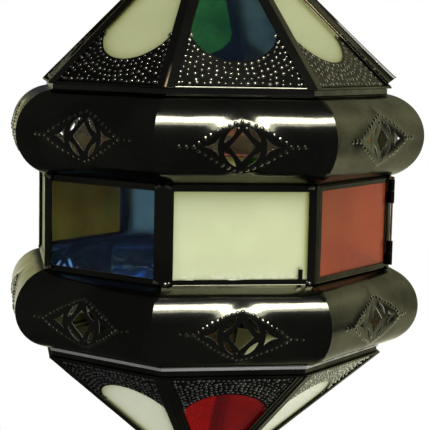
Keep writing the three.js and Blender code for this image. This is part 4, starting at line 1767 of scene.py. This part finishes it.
@dataclass
class Hinge:
    """The pin and the rolled knuckles that the door turns on."""

    pin: float = 0.7
    head: float = 1.4
    head_height: float = 1.6
    wall: float = 0.5
    length: float = 8.0

    def __post_init__(self) -> None:
        """Work out the pin's place and the knuckles' heights."""
        self.bore = self.pin + GAP
        self.radius = self.bore + self.wall
        self.middle = (self.bore + self.radius) / 2
        self.x = FACE_HALF - self.radius
        self.y = -(POST_OUTER + GAP + self.radius)
        self.top = BAND_HALF - GAP - self.head_height - GAP
        self.door_lows = (self.top - self.length, -self.top + self.length + GAP)
        self.post_lows = (self.top - 2 * self.length - GAP, -self.top)

    def _knuckle(self, low: float, leaf: Sequence[Vector]) -> Shell:
        """Return a knuckle from a height up, rolled from the end of a leaf's middle line."""
        first = leaf[-1] - Vector((self.x, self.y))
        start = math.atan2(first.y, first.x)
        turn = 1 if leaf[-1].x < self.x else -1
        line = list(leaf)
        steps = 20
        whole = 2 * math.pi * 0.965
        for step in range(1, steps):
            angle = start - turn * step / steps * whole
            x = self.x + self.middle * math.cos(angle)
            line.append(Vector((x, self.y + self.middle * math.sin(angle))))
        return prism(sheet_section(line, self.wall), (low, low + self.length))

    def door_leaves(self, stile: float) -> Shell:
        """Return the door's knuckles, with leaves that lie on its stile."""
        back = self.y + self.middle
        leaf = flat([(stile, back), (self.x - 1.0, back), (self.x, back)])
        edge = stile + 3.2
        front, rear = back - 0.25, -POST_INNER - 0.4
        seat = ((stile, front), (edge, front), (edge, rear), (stile, rear))
        shell = Shell()
        for low in self.door_lows:
            shell.join(self._knuckle(low, leaf), AT_DOOR)
            shell.join(prism(seat, (low, low + self.length)), AT_DOOR)
        return shell

    def post_leaves(self) -> Shell:
        """Return the post's knuckles, with leaves that stand on its leg."""
        side = self.x + self.middle
        leaf = flat([(side, -POST_OUTER + 0.3), (side, self.y)])
        shell = Shell()
        for low in self.post_lows:
            shell.join(self._knuckle(low, leaf), AT_DOOR)
        return shell

    def build(self, finishes: Finishes) -> None:
        """Make the pin."""
        top = self.top + GAP
        profile = [(0, -self.top), (self.pin * 0.7, -self.top), (self.pin, -self.top + 0.3)]
        profile += [(self.pin, top), (self.head * 0.92, top), (self.head, top + 0.3)]
        profile += [
            (self.head * 0.97, top + 0.8),
            (self.head * 0.7, top + self.head_height * 0.82),
            (self.head * 0.3, top + self.head_height),
            (0, top + self.head_height),
        ]
        place = AT_DOOR @ Matrix.Translation((self.x, self.y, 0))
        shell = Shell().join(turned(flat(profile), 24), place)
        make_piece("pin_of_hinge", shell, finishes.brass, on_lamp("brass", "hinge_pin"))


@dataclass
class Door:
    """The hinged face: a frame of thin sheet with rails and stiles, and its pane."""

    half: float = FACE_HALF - DOOR_POST_LEG - GAP
    pane_half: float = FACE_HALF - DOOR_POST_LEG - GAP - 2 * GAP - SHEET
    height: float = BAND_HALF - 1.2
    stile: float = 3.5
    rail: float = 2.9

    def _frame(self, hinge: Hinge) -> Shell:
        """Return the frame with its tabs and knuckles."""
        middle = POST_INNER + SHEET / 2
        wave = 0.05
        sections = []
        corners = ((-1, -1), (1, -1), (1, 1), (-1, 1))
        for index, corner in enumerate(corners):
            after = corners[(index + 1) % len(corners)]
            for step in range(6):
                share = step / 6
                sway = noise.noise(Vector((index * 2.0 + share, 4.0, 1.0))) * wave if step else 0.0
                section = []
                for depth, width in self._edge():
                    size = Vector((self.half - self.stile * width, self.height - self.rail * width))
                    x, z = (size * Vector(corner)).lerp(size * Vector(after), share)
                    section.append(Vector((x, -middle - depth - sway, z)))
                sections.append(section)
        shell = Shell().join(loft(sections, closed=True), AT_DOOR)
        for side in (-1, 1):
            for up in (-1, 1):
                x = (-side, 0, 0, side * self.pane_half)
                z = (0, 0, 1, up * TAB_SPACING / 2)
                place = Matrix((x, (0, -1, 0, -POST_OUTER), z, (0, 0, 0, 1)))
                shell.join(bent_tab(), AT_DOOR @ place)
        return shell.join(hinge.door_leaves(self.half - self.stile))

    @staticmethod
    def _edge() -> list[tuple[float, float]]:
        """Return the frame's section as [depth, share of its width], with soft edges."""
        half = SHEET / 2
        side = half - 0.22
        section = [(-half, 0.06), (-side, 0.0), (side, 0.0), (half, 0.06)]
        return section + [(depth, 1 - width) for depth, width in reversed(section)]

    def _pane(self) -> Shell:
        """Return the door's pane in its own plane, with its distance to the frame painted on."""

        def covered(point: Vector) -> float:
            """Return 1 by the frame in front of the pane, and less away from it."""
            side = self.half - self.stile - abs(point.x)
            end = self.height - self.rail - abs(point.y)
            return math.exp(-max(0.0, min(side, end)) / 1.6)

        reach = BAND_HALF - 2.5
        return slab(-reach, reach, lambda up: self.pane_half).painted(covered)

    def build(self, finishes: Finishes, hinge: Hinge) -> None:
        """Make the frame and the pane."""
        how = Mount(Body.DOOR, "black_metal", ("door_frame",))
        make_piece("door_of_band", self._frame(hinge), finishes.sheet, how)
        pane = Shell().join(self._pane(), AT_DOOR @ Band.upright(POST_OUTER))
        make_pane("door_pane", pane, finishes, "door_glass")


# Crown, lamp holder and finial


@dataclass
class Crown:
    """The dome on the roof's disc, the screwed loop, the hanging ring and the lamp holder."""

    roof_top: float
    dome_radius: float = 24.0
    dome_height: float = 26.0
    neck: float = 8.0
    tube: float = 5.0
    bore: float = 3.5
    hub: float = 8.0
    hub_height: float = 16.0
    eye_hole: float = 8.0
    eye_wire: float = 2.2
    ring_radius: float = 16.0
    ring_wire: float = 2.0
    holder: float = 13.5
    holder_length: float = 36.0
    socket: float = 7.2
    socket_depth: float = 27.0
    # How far the tube is screwed in, how deep the hub is bored for it, the roof disc's thickness
    grip: float = 5.0
    hub_bore: float = 12.0
    disc: float = 1.5
    outlet: float = 2.7

    def __post_init__(self) -> None:
        """Work out the heights."""
        self.dome_low = self.roof_top + self.disc + GAP
        self.dome_high = self.dome_low + self.dome_height
        self.hub_low = self.dome_high + GAP
        self.hub_high = self.hub_low + self.hub_height
        self.eye_z = self.hub_high - 2 + self.eye_wire * 2 + self.eye_hole
        self.ring_z = self.eye_z + self.eye_hole - self.ring_wire - GAP + self.ring_radius
        self.holder_high = self.roof_top - GAP
        self.holder_low = self.holder_high - self.holder_length

    def _dome_point(self, angle: float, inset: float) -> tuple[float, float]:
        """Return a point of the dome's section."""
        reach = self.dome_radius - self.neck - inset
        height = (self.dome_height - inset) * math.sin(angle)
        return self.neck + reach * math.cos(angle), self.dome_low + height

    def _dome(self) -> Shell:
        """Return the spun dome with its rolled edge."""
        steps = 20
        angles = [step * math.pi / 2 / steps for step in range(1, steps + 1)]
        outer, inner = ([self._dome_point(a, inset) for a in angles] for inset in (0.0, SHEET))
        hole = self.tube + GAP
        bead = [(-0.9, 0.0), (-0.3, 0.0), (0.0, 0.3), (0.0, 0.9)]
        edge = shifted(bead, self.dome_radius, self.dome_low)
        profile = [*edge, *outer, (hole, self.dome_high), (hole, self.dome_high - SHEET)]
        return turned(flat(profile + inner[::-1]), 72)

    def _hub(self) -> Shell:
        """Return the loop's round hub, bored from below, with turned grooves."""
        low, high = self.hub_low, self.hub_high
        bore = self.tube + GAP
        groove = [(0, 2.6), (-0.45, 2.9), (-0.45, 3.3), (0, 3.6)]
        shoulder = [(0, -3.2), (-0.5, -1.6), (-1.8, -0.5), (-3.8, 0)]
        profile = [
            (bore, low),
            *shifted([(-0.5, 0), (0, 0.5), *groove], self.hub, low),
            *shifted(shoulder, self.hub, high),
            (0, high),
            (0, low + self.hub_bore),
            (bore, low + self.hub_bore),
        ]
        return turned(flat(profile), 64)

    def _holder(self) -> Shell:
        """Return the clay body of the lamp holder."""
        low, high = self.holder_low, self.holder_high
        top = self.tube + GAP
        floor = low + self.socket_depth
        seat = high - self.grip - GAP
        wire_hole = 2.0
        mouth = [(-0.8, 0), (-0.2, 0.3), (0, 1.0)]
        groove = [(0, 8.6), (-0.7, 9.3), (-0.7, 10.1), (0, 10.8)]
        profile = [
            (self.socket, low),
            *shifted(mouth + groove, self.holder, low),
            *shifted([(0, -4), (-1.2, -1.6), (-4, 0)], self.holder, high),
            (top, high),
            (top, seat),
            (wire_hole, seat),
            (wire_hole, floor),
            (self.socket, floor),
        ]
        return turned(flat(profile), 64)

    def _liner(self) -> Shell:
        """Return the rolled-thread brass liner of the socket and its contact."""
        outer, inner = [], []
        base = self.holder_low + self.socket_depth
        low = self.holder_low + 1.4
        high = base - 2.2
        around = 8
        steps = 7 * around
        for step in range(steps + 1):
            height = low + (high - low) * step / steps
            wave = 0.252 * math.cos(2 * math.pi * step / around)
            outer.append((self.socket - 0.34 + wave, height))
            inner.append((self.socket - 0.74 + wave, height))
        shell = turned(flat(outer + inner[::-1]), 40)
        contact = shifted([(0, -0.1), (0, -2.4), (1.6, -2.1), (3.1, -0.7), (3.3, -0.1)], 0, base)
        return shell.join(turned(flat(contact), 24))

    def build(self, finishes: Finishes, rows: MarkRows) -> None:
        """Make the crown's pieces."""
        make_sheet("spun_dome", self._dome(), finishes, "crown_dome")
        self._dome_dots(finishes, rows)
        make_piece("threaded_tube", self._tube(), finishes.brass, on_lamp("brass", "inlet_nipple"))
        loop = make_sheet("screwed_loop", self._hub(), finishes, "hanging_loop")
        side = turned(flat([(0, -1), (self.outlet, -1), (self.outlet, 17), (0, 17)]), 32)
        height = self.hub_low + (self.grip + self.hub_bore) / 2 + GAP
        cut_out(loop, Shell().join(side, self._stood(height, "X", -1)))
        eye = wire_ring(self.eye_hole + self.eye_wire, self.eye_wire, 64)
        eye = Shell().join(eye, self._stood(self.eye_z, "X", 1))
        make_sheet("loop_eye", eye, finishes)
        ring = wire_ring(self.ring_radius, self.ring_wire, 96)
        ring = Shell().join(ring, self._stood(self.ring_z, "Y", 1))
        how = Mount(Body.RING, "black_metal", ("hanging_ring",))
        make_piece("wire_ring", ring, finishes.sheet, how)
        how = on_lamp("holder_ceramic", "lamp_holder")
        make_piece("clay_holder", self._holder(), finishes.ceramic, how)
        make_piece("socket_liner", self._liner(), finishes.brass, on_lamp("brass"))

    @staticmethod
    def _stood(height: float, axis: str, quarters: int) -> Matrix:
        """Return the matrix that turns a piece a quarter about an axis and lifts it."""
        turn = Matrix.Rotation(quarters * math.pi / 2, 4, axis)
        return Matrix.Translation((0, 0, height)) @ turn

    def _tube(self) -> Shell:
        """Return the threaded tube that joins the holder, the roof's disc, the dome and the hub."""
        low = self.holder_high - self.grip
        high = self.hub_low + self.grip
        chamfer = 0.4
        profile = [(self.bore, low), (self.tube - chamfer, low), (self.tube, low + chamfer)]
        return turned(flat([*profile, (self.tube, high), (self.bore, high)]), 40)

    def _dome_dots(self, finishes: Finishes, rows: MarkRows) -> None:
        """Make the row of dots round the dome's foot."""
        band = Path()
        r, z = self._dome_point(0.22, 0.0)
        for step in range(97):
            angle = 2 * math.pi * step / 96
            out = Vector((math.cos(angle), math.sin(angle), 0.18)).normalized()
            band.add(Vector((r * math.cos(angle), r * math.sin(angle), z)), out)
        dot = boss(0.95, 0.6)
        how = on_lamp("punched_metal")
        rows.make("dome_dots", [band], dot, finishes.dots, how, 4.6, jitter=0.05, seed=5)


@dataclass
class Finial:
    """The turned knob under the base, whose stud passes up through the disc."""

    seat: float
    radius: float = 9.0
    neck: float = 4.0
    length: float = 30.0
    plate: float = 12.0
    stud: float = 2.5

    def build(self, finishes: Finishes) -> None:
        """Make the finial."""
        seat = self.seat
        ball = seat - self.plate / 2 - self.radius
        profile = [(0.0, seat - self.length), (0.7, seat - self.length + 0.25)]
        steps = 26
        for step in range(steps):
            angle = -math.pi / 2.6 + step * math.pi * 0.82 / (steps - 1)
            profile.append((self.radius * math.cos(angle), ball + self.radius * math.sin(angle)))
        edge = [(-1.6, -1.9), (-0.3, -1.5), (0.0, -1.0), (0.0, -0.3), (-0.3, 0.0)]
        profile += shifted([(0.0, -3.2), (1.4, -2.9)], self.neck, seat)
        profile += shifted(edge, self.plate, seat)
        profile += shifted([(0.0, 0.0), (0.0, 4.4), (-0.4, 4.8)], self.stud, seat)
        profile.append((0.0, seat + 4.8))
        knob = turned(flat(profile), 64)
        make_sheet("turned_finial", knob, finishes, "bottom_finial", crease=40)


@dataclass
class Seams:
    """Blobs of solder where posts and rails meet."""

    radius: float = 1.1
    height: float = 0.55
    spacing: float = 1.5
    jitter: float = 0.35

    @staticmethod
    def _path(face: int, side: int, up: int) -> Path:
        """Return a short line for the blob at one end of a post's leg."""
        path = Path()
        turn = face_turn(face)
        out = turn @ Vector((0, -1, 0))
        for share in (0.0, 1.0):
            x = side * (FACE_HALF - 2.2 - share * 2.1)
            point = Vector((x, -POST_OUTER - 0.05, up * (BAND_HALF - 1.0 - 0.6 * share)))
            path.add(turn @ point, out)
        return path

    def build(self, finishes: Finishes, rows: MarkRows) -> None:
        """Make the blobs."""
        paths = []
        for corner in FACES:
            for up in (-1, 1):
                for side, face in ((-1, corner + 1), (1, corner)):
                    if face % SIDES != DOOR_FACE:
                        paths.append(self._path(face, side, up))
        rows.make(
            "solder_blobs",
            paths,
            boss(self.radius, self.height),
            finishes.solder,
            on_lamp("black_metal"),
            self.spacing,
            sizes=(0.6, 1.25),
            jitter=self.jitter,
            seed=9,
        )


# Scene


@dataclass
class Studio:
    """The camera at the photograph's angle, soft lights, pale world and floor."""

    azimuth: float = -9.37
    elevation: float = 7.0
    roll: float = 1.19
    distance: float = 0.988
    focal: float = 1402.6
    shift: tuple[float, float] = (0.00389, -0.00154)
    picture: float = 430.0
    floor_gap: float = 0.12
    # What gloss mirrors where the studio is dark
    dark: Colour = (0.048, 0.048, 0.050)

    def _directions(self) -> tuple[Vector, Vector, Vector]:
        """Return the camera's right, up and back directions before its roll."""
        azimuth = math.radians(self.azimuth)
        rise = math.radians(self.elevation)
        level = math.cos(rise)
        back = Vector((math.sin(azimuth) * level, -math.cos(azimuth) * level, math.sin(rise)))
        right = Vector((math.cos(azimuth), math.sin(azimuth), 0))
        return right, back.cross(right), back

    def camera(self) -> None:
        """Make the camera and set it as the scene's own."""
        right, up, back = self._directions()
        roll = math.radians(self.roll)
        level = right * math.cos(roll) + up * math.sin(roll)
        upright = up * math.cos(roll) - right * math.sin(roll)
        aim = right * self.shift[0] + Vector((0, 0, self.shift[1] + MIDDLE))
        lens = bpy.data.cameras.new("camera")
        lens.sensor_fit = "HORIZONTAL"
        lens.sensor_width = 36
        lens.lens = self.focal / self.picture * lens.sensor_width
        camera = new_object("camera", lens)
        camera.matrix_world = Matrix((level, upright, back)).transposed().to_4x4()
        camera.matrix_world.translation = aim + back * self.distance
        bpy.context.scene.camera = camera

    @staticmethod
    def _lamp(
        name: str,
        toward: tuple[float, float],
        reach: float,
        size: tuple[float, float],
        watts: float,
        colour: Colour,
    ) -> Object:
        """Make an area lamp that looks at the band.

        Args:
            name: Its name.
            toward: Its azimuth and elevation from the band, in degrees, 0 being -Y.
            reach: Its distance in metres.
            size: Its width and height in metres.
            watts: Its power.
            colour: Its colour.

        Returns:
            The lamp.
        """
        azimuth, rise = (math.radians(part) for part in toward)
        level = math.cos(rise)
        out = Vector((math.sin(azimuth) * level, -math.cos(azimuth) * level, math.sin(rise)))
        light = bpy.data.lights.new(name, "AREA")
        light.shape = "RECTANGLE"
        light.size, light.size_y = size
        light.energy = watts
        light.color = colour
        lamp = new_object(name, light)
        lamp.matrix_world = out.to_track_quat("Z", "Y").to_matrix().to_4x4()
        lamp.matrix_world.translation = out * reach + Vector((0, 0, MIDDLE))
        return lamp

    def _world(self) -> None:
        """Make the pale world, darker in the gloss towards the front and the left."""
        world = bpy.data.worlds.new("studio")
        world.use_nodes = True
        world.cycles.sampling_method = "NONE"
        bpy.context.scene.world = world
        graph = Graph(world.node_tree)
        x, y, z = graph.axes(graph.wire("ShaderNodeTexCoord", output="Generated"))
        side = x.ramp(0.20, 0.60) * y.ramp(0.08, 0.42) * (1 - 0.75 * z.ramp(0.42, 0.62))
        side = graph.mix(side, self.dark, (0.90, 0.89, 0.62))
        rear = (0.0 - x).ramp(0.07, 0.12) * y.ramp(0.85, 0.95) * (1 - z.ramp(0.15, 0.3))
        side = graph.mix(rear, side, (0.95, 0.94, 0.50))
        level = (0.56 + 0.44 * y.ramp(-0.3, 0.6)) * (1 - 0.6 * z.ramp(0.0, 0.8))
        soft = graph.mix(level.clamped(), (0.0, 0.0, 0.0), (1.0, 1.0, 1.0))
        colour = graph.mix(graph.ray("Glossy"), soft, side)
        colour = graph.mix(graph.ray("Camera", "Transmission"), colour, (1.0, 1.0, 1.0))
        light = graph.wire("ShaderNodeBackground", None, {"Color": colour, "Strength": 1.0})
        graph.node("ShaderNodeOutputWorld", None, {"Surface": light})

    def _floor(self) -> None:
        """Make the pale floor, which keeps the lantern's shadow and fades to white far away. Gloss
        sees a painted tone instead: painted shade near the lantern towards the front and left,
        pale to the right and behind.
        """
        low = CAD_BOX[0].z - self.floor_gap
        mesh = bpy.data.meshes.new("floor")
        far = 30.0
        square = ((-far, -far), (far, -far), (far, far), (-far, far))
        mesh.from_pydata([Vector((x, y, low)) for x, y in square], [], [(0, 1, 2, 3)])
        material, graph = new_material("pale_floor")
        x, y, _ = graph.axes(graph.coords())
        out = x.math("SQRT", x * x + y * y)
        pale = graph.mix(graph.noise(9, 4), (0.80, 0.80, 0.80), (0.83, 0.83, 0.82))
        lit = graph.principled({"Base Color": pale, "Roughness": 0.7})
        white = graph.wire("ShaderNodeEmission", None, {"Color": (1, 1, 1), "Strength": 1.0})
        close = (0.8 * x + 0.6 * y).ramp(0.02, 0.30)
        right = (x / out).ramp(0.2, 0.8)
        left = (0.0 - x / out).ramp(0.07, 0.12) * (y / out).ramp(0.85, 0.95)
        dim = 0.9 * out.ramp(1.6, 4.5) * (1 - right) * (1 - left)
        rear = (y / out).ramp(0.08, 0.42) * (1.0 - dim)
        away = out.ramp(0.5, 1.5)
        # Painted shade for gloss: the floor near the lantern mirrors dark
        tone = close * (1 - away) + rear * away
        grey = graph.mix(tone.clamped(), self.dark, (1, 0.99, 0.72))
        mirrored = graph.wire("ShaderNodeEmission", None, {"Color": grey, "Strength": 1.0})
        seen = graph.ray("Camera", "Transmission") * (0.45 + 0.55 * out.ramp(0.25, 0.55))
        graph.finish(graph.blend(graph.ray("Glossy"), graph.blend(seen, lit, white), mirrored))
        mesh.materials.append(material)
        material.cycles.emission_sampling = "NONE"
        floor = new_object("floor", mesh)

    def build(self) -> None:
        """Make the lights, world and floor."""
        self._lamp("front_strip", (9.4, 53.8), 1.6, (0.80, 0.39), 17.5, (1.0, 0.99, 0.91))
        self._lamp("soft_edge", (9.4, 43.2), 1.6, (0.80, 0.18), 1.6, (1.0, 0.99, 0.93))
        bounce = self._lamp("low_bounce", (14.0, -25.0), 0.70, (0.8, 0.06), 5.0, (0.93, 0.95, 1.0))
        bounce.visible_glossy = False
        bounce.visible_camera = False
        bounce.visible_transmission = False
        self._world()
        self._floor()


def main() -> None:
    """Build the scene: camera, sub-assemblies and studio."""
    logging.basicConfig(level=logging.INFO, format="%(message)s")
    scene = bpy.context.scene
    scene.view_settings.view_transform = "Standard"
    studio = Studio()
    studio.camera()
    finishes = Finishes()
    rows = MarkRows()
    upper = (Motif((-2.5, -2.5), 0), Motif((0, 0), 0))
    lower = (Motif((-0.5, 2.35), 3), Motif((0, 1.15), 0))
    Roll(End.UPPER, TOP_RAIL, *upper, 4.2).build(finishes, rows)
    Roll(End.LOWER, BOTTOM_RAIL, *lower, 3.3, height=52.9, lip=2.3).build(finishes, rows)
    roof = Slope(End.UPPER, 113.4, 119.0, 22.0, 21.3)
    roof.build(finishes, rows)
    base = Slope(End.LOWER, 111.7, 106.0, 15.0, 20.8, hole=2.8, row=3.1, spacing=3.2, dot=1.05)
    base.build(finishes, rows)
    hinge = Hinge()
    Band().build(finishes, hinge)
    Door().build(finishes, hinge)
    hinge.build(finishes)
    Crown(roof.top).build(finishes, rows)
    Finial(-base.top - base.disc - GAP).build(finishes)
    Seams().build(finishes, rows)
    studio.build()


if __name__ == "__main__":
    main()
